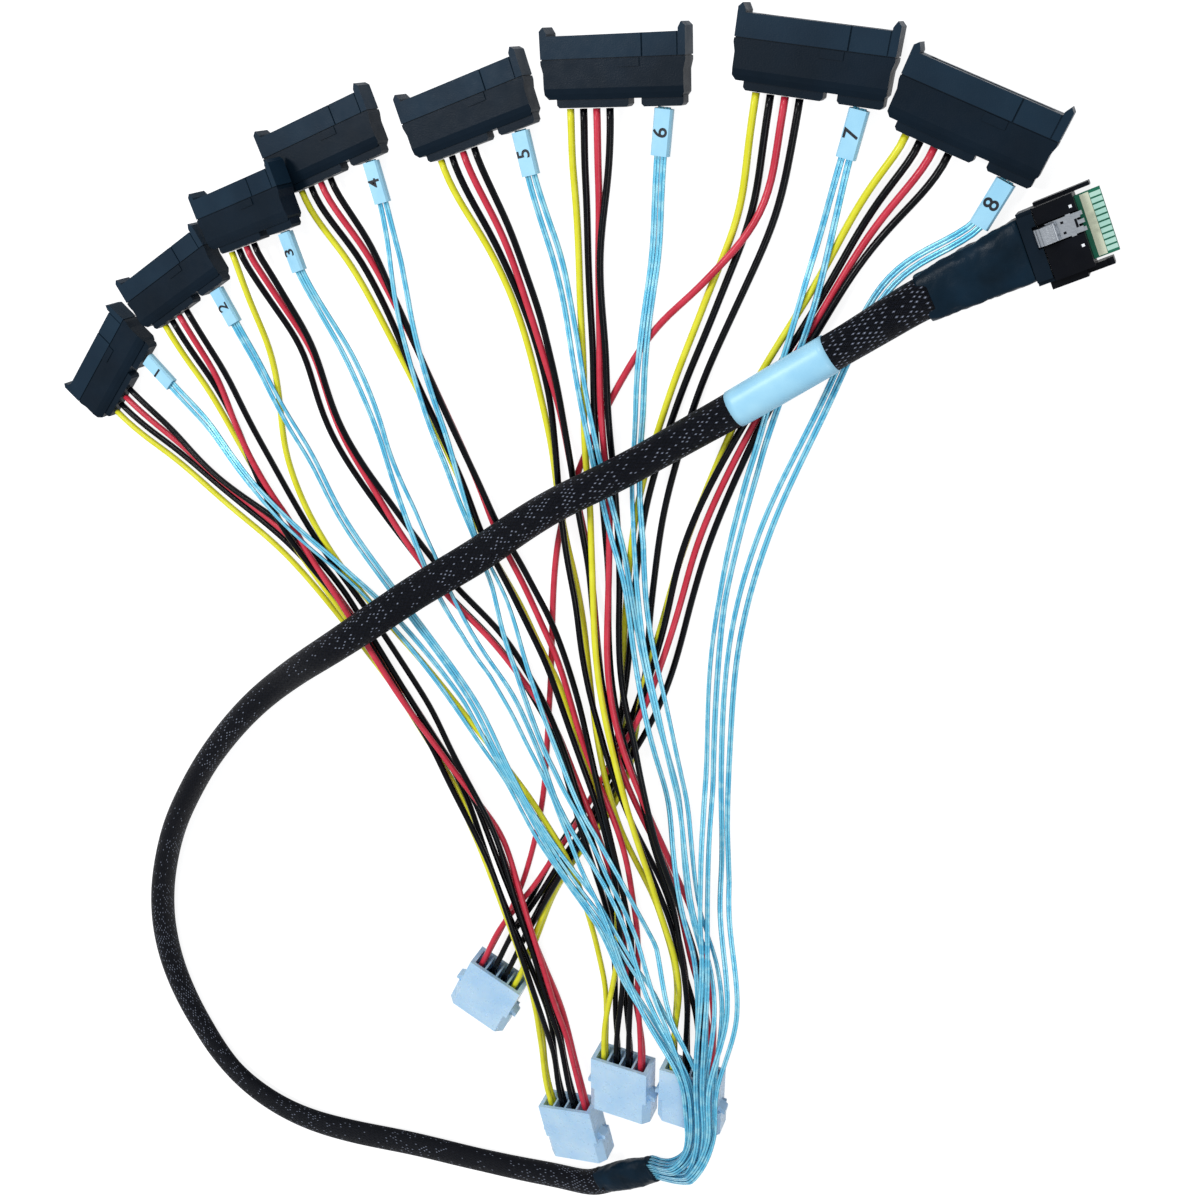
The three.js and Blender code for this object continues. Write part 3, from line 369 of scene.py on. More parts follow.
def braid():
    """Two families of filament bundles that cross over and under each other, with painted shade in the
    hollows and painted glints on some crossings.
    """
    f = Finish("braided_sleeve")
    uv = f.add("ShaderNodeUVMap").outputs["UV"]
    split = f.add("ShaderNodeSeparateXYZ", [("Vector", uv)])
    around = f.math("MULTIPLY", split.outputs["X"], BRAID_AROUND)
    forward = f.math("DIVIDE", split.outputs["Y"], BRAID_LENGTH)
    left = f.math("ADD", around, forward)
    right = f.math("SUBTRACT", around, forward)
    cell_left, cell_right = f.math("FLOOR", left), f.math("FLOOR", right)
    odd = f.math("MODULO", f.math("ABSOLUTE", f.math("ADD", cell_left, cell_right)), 2.0)
    over = f.math("GREATER_THAN", odd, 0.5)

    def bundle(across, along):
        """Height of a bundle's filaments, highest where it passes over the other family."""
        strand = f.math("FRACT", across)
        arch = f.math("SINE", f.math("MULTIPLY", f.math("FRACT", along), math.pi))
        body = f.math("SINE", f.math("MULTIPLY", strand, math.pi))
        fine = f.math("ABSOLUTE", f.math("SINE", f.math("MULTIPLY", strand, math.pi * FILAMENTS)))
        rise = f.math("MULTIPLY_ADD", arch, 0.5, 0.5)
        return f.math("MULTIPLY", rise, f.math("MULTIPLY", f.math("POWER", body, 0.35), fine))

    heights = [(0, over), (2, bundle(left, right)), (3, bundle(right, left))]
    height = f.add("ShaderNodeMix", heights, data_type="FLOAT").outputs[0]
    # Painted shade: the bundles' tops lighter, the hollows between and under them darker
    painted_relief_shading = f.ramp(height, 0.25, 0.95)
    # Painted glints: pale dashes in some cells, more of them in patches and near the boot
    cell = f.add("ShaderNodeCombineXYZ", [("X", cell_left), ("Y", cell_right)]).outputs[0]
    chance = f.add("ShaderNodeTexWhiteNoise", [("Vector", cell)], noise_dimensions="2D").outputs["Value"]
    patches = f.ramp(f.noise(16, 2), 0.42, 0.64, 0.96, 0.5)
    patches = f.math("MINIMUM", patches, f.ramp(split.outputs["Y"], 0.02, 0.15, 0.45, 0.96))
    glint_cells = f.math("GREATER_THAN", chance, patches)
    a = f.math("SUBTRACT", f.math("FRACT", left), 0.5)
    b = f.math("SUBTRACT", f.math("FRACT", right), 0.5)
    wide = f.math("ABSOLUTE", f.math("ADD", a, b))
    long = f.math("ABSOLUTE", f.math("SUBTRACT", a, b))
    dash = f.math("ADD", f.math("DIVIDE", wide, DASH_WIDE), f.math("DIVIDE", long, DASH_LONG))
    painted_glint = f.math("MULTIPLY", f.ramp(dash, 1.0, 0.3), glint_cells)
    # Base colour: painted shade from the bundles' heights, with painted glints over it; the glints are also
    # smoother
    f.set(
        Base_Color=f.mix(painted_glint, f.mix(painted_relief_shading, srgb(2, 3, 7), srgb(22, 26, 38)), srgb(150, 158, 178)),
        Roughness=f.ramp(painted_glint, 0.0, 1.0, 0.5, 0.2),
        Specular_IOR_Level=0.12,
    )
    f.bump(height, 0.0003)
    return f.material


def shrink(name, colour, lighter):
    """Shrunk sleeving: soft dents under a fine grain, with painted sheen that makes the raised parts of the
    dents lighter.
    """
    f = Finish(name)
    # Painted sheen: the lighter tone follows nearly the same noise as the dents' bump
    f.set(
        Base_Color=f.mix(f.ramp(f.noise(110, 4), 0.3, 0.72), srgb(*colour), srgb(*lighter)),
        Roughness=f.ramp(f.noise(160, 3), 0.3, 0.7, 0.3, 0.44),
        Specular_IOR_Level=0.1,
    )
    f.bump(f.noise(110, 3), 0.0006)
    f.bump(f.noise(2600, 2), 0.00004)
    return f.material


LOOKS = {
    "housing_black": moulded("drive_housing", (19, 37, 52), (25, 45, 61), 0.42),
    "shell_black": moulded("drive_shell", (10, 23, 34), (14, 29, 42), 0.4),
    "host_black": moulded("host_body", (7, 9, 15), (11, 14, 22), 0.36),
    "nylon_clear": nylon(),
    "label_blue": paper("label_film", (150, 207, 236), (165, 218, 242)),
    "latch_steel": metal("latch_sheet", (205, 210, 216), 0.24, True),
    "board_green": insulation("board", (16, 88, 66), (22, 104, 80), 0.35),
    "wire_yellow": insulation("yellow_wire", (221, 217, 34), (231, 228, 58)),
    "wire_black": insulation("black_wire", (3, 4, 8), (6, 8, 14), 0.24, 0.17),
    "wire_red": insulation("red_wire", (194, 42, 63), (209, 56, 76)),
    "ribbon_blue": foil_ribbon(),
    "shrink_black": shrink("shrink_sleeve", (6, 22, 33), (14, 36, 52)),
    "sleeve_black": braid(),
}
contact_gold = metal("contact_gold", (232, 190, 110), 0.25)
tin = metal("tinned_terminal", (214, 216, 214), 0.3)
ink = insulation("label_ink", (22, 26, 34), (30, 34, 44), 0.5)
pad_blue = insulation("card_pad", (160, 206, 192), (180, 218, 204), 0.3)
pad_ground = insulation("card_ground", (198, 204, 178), (208, 213, 190), 0.4)
marker_white = insulation("marker_paint", (236, 240, 244), (248, 250, 252), 0.4)

# The camera stands where the picture was taken from
CAMERA_AT = (147.468, 176.191, 347.892)
CAMERA_LENS = 38.17
SENSOR_WIDTH = 36
PICTURE_RIGHT = Vector((0.920698, 0.0, -0.390276))
PICTURE_DOWN = Vector((0.164933, -0.906314, 0.389092))
camera = bpy.data.objects.new("camera", bpy.data.cameras.new("camera"))
bpy.context.scene.collection.objects.link(camera)
camera.data.lens = CAMERA_LENS
camera.data.sensor_width = SENSOR_WIDTH
camera_axes = Matrix((PICTURE_RIGHT, -PICTURE_DOWN, -PICTURE_RIGHT.cross(PICTURE_DOWN))).transposed()
camera.matrix_world = Matrix.Translation(metres([CAMERA_AT])[0]) @ camera_axes.to_4x4()
camera.data.clip_start = 0.01
camera.data.clip_end = 20
bpy.context.scene.camera = camera


# Plan curves
def smooth_plan(points):
    """Smooth curve through these points."""
    points = [np.array(p, float)[:2] for p in points]
    out = []
    for i in range(len(points) - 1):
        a, b = points[max(0, i - 1)], points[i]
        c, d = points[i + 1], points[min(len(points) - 1, i + 2)]
        square, cube = 2 * a - 5 * b + 4 * c - d, 3 * b - a - 3 * c + d
        for k in range(SPAN_STEPS):
            t = k / SPAN_STEPS
            out.append(0.5 * (2 * b + (c - a) * t + square * t**2 + cube * t**3))
    out.append(points[-1])
    return np.array(out)


def runs(points):
    """Run length at each point."""
    return np.concatenate([[0], np.cumsum(np.linalg.norm(np.diff(points, axis=0), axis=1))])


def ease(t):
    c = np.clip(t, 0, 1)
    return c * c * (3 - 2 * c)


def shifted(points, amount):
    """The curve moved to its left by amount, which is given the run lengths and the whole length."""
    run = runs(points)
    ahead_of = np.vstack([points[1:], points[-1:]]) - np.vstack([points[:1], points[:-1]])
    ahead_of /= np.linalg.norm(ahead_of, axis=1)[:, None]
    side = np.stack([-ahead_of[:, 1], ahead_of[:, 0]], axis=1)
    return points + side * np.asarray(amount(run, run[-1]))[:, None]


def resampled(points, step=STEP):
    run = runs(points)
    count = max(2, int(round(run[-1] / step)))
    s = np.linspace(0, run[-1], count + 1)
    return np.stack([np.interp(s, run, points[:, k]) for k in range(points.shape[1])], axis=1)


def relaxed(points, rounds, held):
    """Rounds off kinks, with the first and last few points held."""
    p = points.copy()
    free = slice(held[0], len(p) - 2 - held[1])
    for _ in range(rounds):
        mid = 0.5 * p[1:-1] + 0.25 * (p[:-2] + p[2:])
        p[1:-1][free] = mid[free]
    return p


# What lies below: close-set points of every cord so far, with half width, half thickness and whether it is
# flat; and the power plugs, each with its middle, turn, half sizes and name
below = {"xyz": np.zeros((0, 3)), "wide": np.zeros(0), "thick": np.zeros(0), "flat": np.zeros(0, bool)}
plug_half = (SHROUD_WIDTH / 2 + EAR_REACH, PLUG_LENGTH / 2)
plug_boxes = [
    (at(plug_spots[name], 0, PLUG_LENGTH / 2), math.radians(PLUGS[name][2]), *plug_half, name)
    for name in PLUGS
]


def lay(plan, ends, held, wide, thick, skip=""):
    """Heights for a cord on this plan curve: it rests on what it crosses, in long low humps.

    ends are the heights of its two ends, held the lengths over which they stay level, wide and thick its
    half sizes, and skip is the plug that it enters.
    """
    run = runs(plan)
    total = run[-1]
    need = np.maximum(thick + REST, ends[0] - SLOPE * np.clip(run - held[0], 0, None))
    need = np.maximum(need, ends[1] - SLOPE * np.clip(total - held[1] - run, 0, None))
    free = (run > held[0]) & (run < total - held[1])
    raised = np.zeros(len(plan))
    if len(below["xyz"]):
        reach = wide + below["wide"] + GAP
        for i in np.nonzero(free)[0]:
            d = np.hypot(below["xyz"][:, 0] - plan[i, 0], below["xyz"][:, 1] - plan[i, 1])
            near = d < reach
            if not near.any():
                continue
            power = np.where(below["flat"][near] | (wide > WIDE_CORD), SQUARE_HUMP, ROUND_HUMP)
            hump = (1 - (d[near] / reach[near]) ** power) ** (1 / power)
            raised[i] = (below["xyz"][near, 2] + (thick + below["thick"][near] + GAP) * hump).max()
    for centre, turn, half_x, half_y, name in plug_boxes:
        if name == skip:
            continue
        dx, dy = plan[:, 0] - centre.x, plan[:, 1] - centre.y
        u = np.abs(dx * math.cos(turn) + dy * math.sin(turn))
        v = np.abs(dy * math.cos(turn) - dx * math.sin(turn))
        inside = (u < half_x + wide) & (v < half_y + wide) & free
        raised[inside] = np.maximum(raised[inside], PLUG_THICK + thick + PLUG_CLEAR)
    need = np.maximum(need, raised)
    d = np.abs(run[:, None] - run[None, :])
    drop = np.where(d < BEND, d * d * SLOPE / (2 * BEND), SLOPE * (d - BEND / 2))
    z = (need[None, :] - drop).max(axis=1)
    for _ in range(LEVEL_ROUNDS):
        z[1:-1] = np.maximum(z[1:-1], (z[:-2] + z[2:]) / 2)
    z = np.minimum(z, ends[0] + END_SLOPE * np.clip(run - held[0] + END_ROOM, 0, None))
    z = np.minimum(z, ends[1] + END_SLOPE * np.clip(total - held[1] + END_ROOM - run, 0, None))
    z[run <= held[0]] = ends[0]
    z[run >= total - held[1]] = ends[1]
    return relaxed(np.column_stack([plan, z]), 3, (1, 1))


def keep_below(points, wide, thick, flat):
    """Adds a laid cord to what lies below."""
    dense = resampled(points, 1.0)
    below["xyz"] = np.vstack([below["xyz"], dense])
    for key, value in (("wide", wide), ("thick", thick), ("flat", flat)):
        below[key] = np.concatenate([below[key], np.full(len(dense), value)])


def tube_mesh(points, section, roll=None):
    """Closed tube along points in millimetres; section gives its outline at a run length, roll its turn."""
    points = np.asarray(points, float)
    run = runs(points)
    tangent = np.gradient(points, axis=0)
    tangent /= np.linalg.norm(tangent, axis=1)[:, None]
    side = np.cross(tangent, (0, 0, 1))
    side /= np.linalg.norm(side, axis=1)[:, None]
    up = np.cross(side, tangent)
    if roll is not None:
        c, s = np.cos(roll)[:, None], np.sin(roll)[:, None]
        side, up = side * c + up * s, up * c - side * s
    rings = []
    for i, p in enumerate(points):
        outline = np.asarray(section(run[i], run[-1]), float)
        rings.append(p + outline[:, :1] * side[i] + outline[:, 1:2] * up[i])
    sides = len(rings[0])
    vertices = metres(np.vstack(rings))
    faces = []
    uvs = []
    for i in range(len(points) - 1):
        for k in range(sides):
            n = (k + 1) % sides
            faces.append((i * sides + k, i * sides + n, (i + 1) * sides + n, (i + 1) * sides + k))
            v0, v1 = run[i] / 1000, run[i + 1] / 1000
            uvs += [(k / sides, v0), ((k + 1) / sides, v0), ((k + 1) / sides, v1), (k / sides, v1)]
    faces.append(tuple(range(sides))[::-1])
    faces.append(tuple((len(points) - 1) * sides + k for k in range(sides)))
    uvs += [(0, 0)] * (2 * sides)
    return vertices, faces, uvs


def tubes(name, meshes, look):
    """One piece of several tube meshes."""
    vertices, faces, uvs = [], [], []
    for some_vertices, some_faces, some_uvs in meshes:
        base = len(vertices)
        vertices += list(some_vertices)
        faces += [tuple(base + k for k in face) for face in some_faces]
        uvs += some_uvs
    return piece(name, vertices, faces, look, uvs=uvs, smooth=True)


def tube(name, points, section, look):
    return tubes(name, [tube_mesh(points, section)], look)


def thinned(points):
    """Every second point, with both ends."""
    return points[::2] if len(points) % 2 else np.vstack([points[:-1:2], points[-1]])


def drift(run, seed, size, length=75.0):
    """A slow wander to either side that dies out at both ends."""
    values = np.array([noise.noise(Vector((s / length, seed, 0.5))) for s in run])
    return size * values * ease(run / DRIFT_FADE) * ease((run[-1] - run) / DRIFT_FADE)


def piece(name, vertices, faces, look, body="cable", uvs=None, smooth=False):
    mesh = bpy.data.meshes.new(name)
    mesh.from_pydata([tuple(v) for v in vertices], [], faces)
    if uvs is not None:
        layer = mesh.uv_layers.new(name="UVMap")
        layer.data.foreach_set("uv", np.asarray(uvs, np.float32).ravel())
    mesh.polygons.foreach_set("use_smooth", [smooth] * len(mesh.polygons))
    mesh.materials.append(look)
    mesh.update()
    o = bpy.data.objects.new(name, mesh)
    bpy.context.scene.collection.objects.link(o)
    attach(o, body)
    return o


def oval(wide, thick, sides, power=2.0):
    """Rounded outline of these half sizes, squarer with a higher power."""
    turns = (np.arange(sides) + 0.5) / sides * 2 * math.pi
    c, s = np.cos(turns), np.sin(turns)
    x = wide * np.sign(c) * np.abs(c) ** (2 / power)
    y = thick * np.sign(s) * np.abs(s) ** (2 / power)
    return np.stack([x, y], axis=1)


def boxes(name, blocks, look, body="cable"):
    """One piece of many blocks; each is its frame and its span along x, y and z, in millimetres."""
    vertices, faces = [], []
    for spot, (x0, x1, y0, y1, z0, z1) in blocks:
        base = len(vertices)
        for x in (x0, x1):
            for y in (y0, y1):
                for z in (z0, z1):
                    vertices.append(tuple(at(spot, x, y, z)))
        for quad in ((0, 1, 3, 2), (4, 6, 7, 5), (0, 4, 5, 1), (2, 3, 7, 6), (0, 2, 6, 4), (1, 5, 7, 3)):
            faces.append(tuple(base + k for k in quad))
    return piece(name, metres(vertices), faces, look, body)


CORD_LIMIT = 40
declared = []


def declare(o):
    """Adds a cord to the declared list, up to CORD_LIMIT of them."""
    if len(declared) >= CORD_LIMIT:
        return
    declared.append(o)


# Power leads: each leaves its boss straight, runs in its group's close lanes, and enters its plug straight
STUB = 5
PLUG_ENTRY = -7
GATHER_OVER = 40
SORT_FROM, SORT_OVER = 150, 60
SPREAD_OVER = 45
WIRE_DRIFT = 2.6
WIRE_SIDES = 12
wire_section = oval(WIRE_RADIUS, WIRE_RADIUS, WIRE_SIDES)
boss_back = -BODY_DEPTH - BOSS_DEPTH - SEAT_GAP
lead_list = []
terminals = {}


def wire_lane(start_lane, lane, order, end_lane):
    """Side step of a wire from its group's line: spread at both ends and close together in between."""
    return lambda s, total: (
        start_lane
        + (lane - start_lane) * ease(s / GATHER_OVER)
        + (order - lane) * ease((s - total + SORT_FROM) / SORT_OVER)
        + (end_lane - order) * ease((s - total + SPREAD_OVER) / SPREAD_OVER)
    )


for d in LAY_ORDER:
    plug_name, via = LEAD_ROUTES[d]
    spot, plug_spot = drive_spots[d], plug_spots[plug_name]
    for k in range(4):
        exit_x = WIRE_EXIT_X + WIRE_EXIT_PITCH * k
        contact = 3 - CONTACT_OF[k] if PLUGS[plug_name][3] else CONTACT_OF[k]
        contact_x = -(contact - 1.5) * CONTACT_PITCH
        own = OWN_ROUTES.get((d, k))
        start = at(spot, exit_x, boss_back, DRIVE_THICK / 2)
        stub = at(spot, exit_x, boss_back - STUB, DRIVE_THICK / 2)
        before = at(plug_spot, contact_x, PLUG_ENTRY)
        end = at(plug_spot, contact_x, CRIMP_DEPTH + 1)
        if own:
            plan = smooth_plan([stub, *own, before])
        else:
            first = at(spot, WIRE_EXIT_X + WIRE_EXIT_PITCH * 1.5, boss_back - STUB)
            last = at(plug_spot, 0, PLUG_ENTRY)
            from_middle, to_middle = k - 1.5, contact - 1.5
            lane = wire_lane(from_middle * WIRE_EXIT_PITCH, from_middle * WIRE_PITCH,
                             to_middle * WIRE_PITCH, to_middle * CONTACT_PITCH)
            plan = shifted(smooth_plan([first, *via, last]), lane)
        tips = [(p.x, p.y) for p in (start, stub, before, end)]
        whole = np.vstack([tips[:2], plan[2:-2], tips[2:]])
        whole = relaxed(resampled(whole), PLAN_ROUNDS, (2, 8))
        whole = shifted(whole, lambda run, total: drift(run, 3.7 * d + 1.3 * k, WIRE_DRIFT))
        level = PLUG_THICK / 2 + (1 if d % 2 else -1) * (WIRE_RADIUS + 0.02)
        points = lay(whole, (start.z, level), (4, 13), WIRE_RADIUS, WIRE_RADIUS, plug_name)
        keep_below(points, WIRE_RADIUS, WIRE_RADIUS, False)
        colour = COLOURS[k]
        node = f"lead_pair_{plug_name}{contact + 1}_{colour}"
        wire = tube(f"wire_{d + 1}_{k + 1}", thinned(points), lambda s, total: wire_section,
                    LOOKS[f"wire_{colour}"])
        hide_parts(node)
        lead_list.append((wire, points, 2 * WIRE_RADIUS))
        terminals[(plug_name, contact)] = (contact_x, node)

# Terminals: depth in the plug and radius, from the crimp to the pin's rounded tip
TERMINAL = [
    (CRIMP_DEPTH, CRIMP_RADIUS),
    (CRIMP_DEPTH + 2.5, CRIMP_RADIUS),
    (CAVITY_DEPTH - 1.2, CRIMP_RADIUS * 0.95),
    (CAVITY_DEPTH - 0.4, PIN_RADIUS),
    (PIN_DEPTH - 1, PIN_RADIUS),
    (PIN_DEPTH, PIN_RADIUS * 0.6),
]
for (plug_name, contact), (contact_x, node) in terminals.items():
    path = [at(plug_spots[plug_name], contact_x, depth, PLUG_THICK / 2) for depth, _ in TERMINAL]
    marks = runs(np.array(path))

    def pin_section(s, total):
        radius = np.interp(s, marks, [r for _, r in TERMINAL])
        return oval(radius, radius, WIRE_SIDES)

    pin = tube(f"terminal_{plug_name}{contact + 1}", path, pin_section, tin)
    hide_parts(node)


# Signal ribbons: two flat twin strips side by side, which part a little in mid run
STRIP_WIDTH = 1.8
STRIP_THICK = 0.8
STRIP_ROOM = 0.6
STRIP_APART = 0.95
STRIP_ROLL = 0.8
ROLL_OVER = 60
RIBBON_DRIFT = 2.0
DRIFT_OVER = 110
# How far each ribbon's strips part, over what length, the most they may, and how far one may lie above the
# other
PARTING = [0.5, 0.8, 1.5, 1.4, 0.7, 0.4, 0.9, 0.6]
PARTING_SIZE = 2.6
PARTING_OVER = 90
MOST_PARTING = 2.0
MOST_STEP = 1.6
# Where the ribbons gather into lanes and where they close up towards the collar, counted from its mouth
LANES_FROM, LANES_OVER = 140, 50
CLOSE_FROM, CLOSE_OVER = 55, 40
DIGIT_SIZE = 0.0056
DIGIT_THICK = 0.00002
DIGIT_BOLD = 0.00008
DIGIT_LIFT = 0.04


def strip_outline():
    """Two soft ridges over the cores, with a groove between them."""
    x = np.linspace(-1, 1, 15)
    ridge = 0.55 + 0.45 * np.abs(np.sin(math.pi * x)) ** 0.8
    top = STRIP_THICK / 2 * ridge * np.sqrt(1 - 0.8 * x**8)
    upper = np.stack([x * STRIP_WIDTH / 2, top], axis=1)
    lower = np.stack([x[::-1] * STRIP_WIDTH / 2, -top[::-1]], axis=1)
    return np.vstack([upper, lower])


def ribbon_lane(lane, column):
    """Side step of a ribbon from its route: none, then its lane in the fan, then its collar column."""

    def amount(s, total):
        close = ease((s - total + CLOSE_FROM) / CLOSE_OVER)
        return lane * ease((s - total + LANES_FROM) / LANES_OVER) * (1 - close) + column * close

    return amount


def strip_side(sign, d):
    """Side step of one of the two strips of ribbon d, which part and close again along the run."""

    def amount(run, total):
        parting = np.abs(drift(run, 2.3 * d + 40, PARTING_SIZE * PARTING[d], PARTING_OVER))
        return sign * (STRIP_APART + np.clip(parting, 0, MOST_PARTING) * ease((total - run) / PARTING_OVER))

    return amount


def port_number(d, label_spot):
    """The plain digit on a port label, read along the ribbon."""
    name = f"label_number_{d + 1}"
    number = bpy.data.objects.new(name, bpy.data.curves.new(name, "FONT"))
    number.data.body = str(d + 1)
    number.data.size = DIGIT_SIZE
    number.data.extrude = DIGIT_THICK
    number.data.offset = DIGIT_BOLD
    number.data.align_x = "CENTER"
    number.data.align_y = "CENTER"
    number.data.materials.append(ink)
    bpy.context.scene.collection.objects.link(number)
    axes = label_spot.to_3x3().normalized()
    digit_axes = Matrix((axes.col[1], -axes.col[0], axes.col[2])).transposed()
    middle = at(label_spot, 0, -LABEL_OFFSET - LABEL_LENGTH * 0.5, LABEL_THICK / 2 + DIGIT_LIFT)
    number.matrix_world = Matrix.Translation(metres([middle])[0]) @ digit_axes.to_4x4()
    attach(number, "cable")


strip_section = strip_outline()[::-1]
ribbon_list = []
for d, via in enumerate(RIBBON_ROUTES):
    spot = drive_spots[d]
    start = at(spot, RIBBON_EXIT_X, boss_back, DRIVE_THICK / 2)
    label_spot = (
        spot
        @ Matrix.Translation((RIBBON_EXIT_X, boss_back, DRIVE_THICK / 2))
        @ Matrix.Rotation(math.radians(DRIVES[d][4]), 4, "Z")
    )
    label_end = at(label_spot, 0, -LABEL_OFFSET - LABEL_LENGTH - 1)
    column = (-1 if d < 4 else 1) * COLUMN_OFFSET
    turn = math.radians(COLLAR_TURN)
    aside = (-math.sin(turn) * column, math.cos(turn) * column)
    plan = shifted(smooth_plan([label_end, *via, *FAN]), ribbon_lane(LANES[d] * LANE_PITCH, column))
    mouths = [at(collar_spot, -back, 0) for back in (FAN_STUB, -1)]
    tail = [(m.x + aside[0], m.y + aside[1]) for m in mouths]
    whole = np.vstack([[start.x, start.y], [label_end.x, label_end.y], plan[3:-1], *tail])
    whole = relaxed(resampled(whole), PLAN_ROUNDS, (8, 2))
    whole = shifted(whole, lambda run, total: drift(run, 5.1 * d + 20, RIBBON_DRIFT, DRIFT_OVER))
    level = RIBBON_THICK / 2 + 0.5 + (d % 4) * LAYER_PITCH
    strips = [
        lay(shifted(whole, strip_side(sign, d)), (start.z, level), (13, 3), STRIP_WIDTH / 2, STRIP_ROOM)
        for sign in (-1, 1)
    ]
    meshes = []
    upper = np.maximum(strips[0][:, 2], strips[1][:, 2])
    for sign, strip in zip((-1, 1), strips):
        strip[:, 2] = np.maximum(strip[:, 2], upper - MOST_STEP)
        keep_below(strip, STRIP_WIDTH / 2, STRIP_ROOM, True)
        line = thinned(strip)
        roll = drift(runs(line), 7.7 * d + sign, STRIP_ROLL, ROLL_OVER)
        meshes.append(tube_mesh(line, lambda s, total: strip_section, roll))
    ribbon = tubes(f"ribbon_{d + 1}", meshes, LOOKS["ribbon_blue"])
    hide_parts(f"signal_ribbon_{d + 1}")
    ribbon_list.append((ribbon, (strips[0] + strips[1]) / 2, RIBBON_WIDTH))
    port_number(d, label_spot)

# Trunk: laid as a flat sleeve of the CAD's size, then drawn with the widths that are seen
SLEEVE_SIDES = 40
boot_z = HOST_THICK / 2 + 0.15
boot_end = at(boot_spot, BOOT_LENGTH - 2, 0)
boot_stub = at(boot_spot, BOOT_LENGTH + 3, 0)
collar_in = at(collar_spot, COLLAR_LENGTH - 2, 0)
collar_stub = at(collar_spot, COLLAR_LENGTH + 9, 0)
trunk_plan = smooth_plan([boot_end, boot_stub, *TRUNK_ROUTE, collar_stub, collar_in])
trunk_plan = relaxed(resampled(trunk_plan, 2.0), 20, (3, 3))
# Seen width along the trunk: the soft sleeve is rounder in some stretches and flatter in others
WIDTH_MARKS = [0, 30, 60, 110, 150, 200, 260, 330, 400, 470, 520, 580, 640, 700, 760, 810, 850]
WIDTHS = [11.6, 10.4, 10.6, 10.2, 10.6, 11.8, 11.8, 10.6, 9.6, 9.4, 9.6, 11.6, 13.4, 13.6, 13.2, 12.2, 11.6]
# The squares of its half width and half thickness add up to this, and the second is this at least
SQUARES = 45.0
LEAST_SQUARE = 4.0
# Length at each end over which the sleeve rises to lie on its full thickness
SETTLE_OVER = 15
trunk_scale = runs(trunk_plan)[-1] / WIDTH_MARKS[-1]


def trunk_half(s):
    """Half width and half thickness of the sleeve at this run length."""
    wide = np.interp(s / trunk_scale, WIDTH_MARKS, WIDTHS) / 2
    thick = math.sqrt(max(SQUARES - wide * wide, LEAST_SQUARE))
    return wide, min(thick, wide)


plan_runs = runs(trunk_plan)
half_thick = np.array([trunk_half(s)[1] for s in plan_runs])
trunk = lay(trunk_plan, (boot_z, COLLAR_THICK / 2), (6, 6), TRUNK_WIDTH / 2 - 0.6, TRUNK_THICK / 2)
settle = ease(plan_runs / SETTLE_OVER) * ease((plan_runs[-1] - plan_runs) / SETTLE_OVER)
trunk[:, 2] += np.clip(half_thick - TRUNK_THICK / 2, 0, None) * settle


def trunk_section(s, total):
    wide, thick = trunk_half(s)
    return oval(wide, thick, SLEEVE_SIDES, 2.2)


sleeve = tube("braided_trunk", trunk, trunk_section, LOOKS["sleeve_black"])
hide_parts("trunk_sleeve")
declare(sleeve)
for o, points, diameter in ribbon_list + lead_list:
    declare(o)

# Trunk label: a wrap that follows the sleeve, centred this far along the route's second stretch
LABEL_SHARE = 0.45
LABEL_FILM = 0.35
label_a, label_b = (np.array(p) for p in (TRUNK_ROUTE[1], TRUNK_ROUTE[2]))
middle = label_a + (label_b - label_a) * LABEL_SHARE
nearest = int(np.argmin(np.hypot(trunk[:, 0] - middle[0], trunk[:, 1] - middle[1])))
trunk_runs = runs(trunk)
wrap_rows = np.nonzero(np.abs(trunk_runs - trunk_runs[nearest]) <= TRUNK_LABEL_LENGTH / 2)[0]


def wrap_section(s, total):
    wide, thick = trunk_half(s + trunk_runs[wrap_rows[0]])
    return oval(wide + LABEL_FILM, thick + LABEL_FILM, SLEEVE_SIDES, 2.3)


wrap = tube("trunk_wrap", trunk[wrap_rows], wrap_section, LOOKS["label_blue"])
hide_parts("trunk_label")

# Boot and collar: shrunk sleeving with broad and fine folds, each so many along and around it
BROAD_FOLDS = (0.22, 2.2)
FINE_FOLDS = (0.6, 4)
FINE_SHARE = 0.5
boot_path = [at(host_spot, -0.25, 0, boot_z), at(host_spot, -0.9, 0, boot_z)]
boot_path += [at(boot_spot, s, 0, boot_z) for s in np.linspace(2, BOOT_LENGTH + 0.5, 40)]
boot_path = np.array([tuple(p) for p in boot_path])


def fold(s, turn, seed, along, around):
    """Height of the folds at this run length and turn round the sleeve."""
    return noise.noise(Vector((s * along + seed, math.cos(turn) * around, math.sin(turn) * around)))


def wrinkled(sides, half, seed, depth):
    """Outline function of a shrunk sleeve: half sizes and squareness along it, roughened by folds."""

    def section(s, total):
        wide, thick, power = half(s / total)
        outline = oval(wide, thick, sides, power)
        for row in outline:
            turn = math.atan2(row[1] / thick, row[0] / wide)
            rise = fold(s, turn, seed, *BROAD_FOLDS)
            rise += FINE_SHARE * fold(s, turn, seed, *FINE_FOLDS)
            row *= 1 + depth * rise / max(wide, thick)
        return outline

    return section


def boot_half(t):
    """Half width, half thickness and squareness at this share of the boot, which narrows and rounds."""
    wide = BOOT_RADIUS_WIDE + (BOOT_RADIUS_NARROW - BOOT_RADIUS_WIDE) * t
    return wide - 0.25, wide * BOOT_FLAT - 0.1, 4.2 - 1.6 * t


boot = tube("shrunk_boot", boot_path, wrinkled(56, boot_half, 3.1, 0.45), LOOKS["shrink_black"])
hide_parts("host_boot")


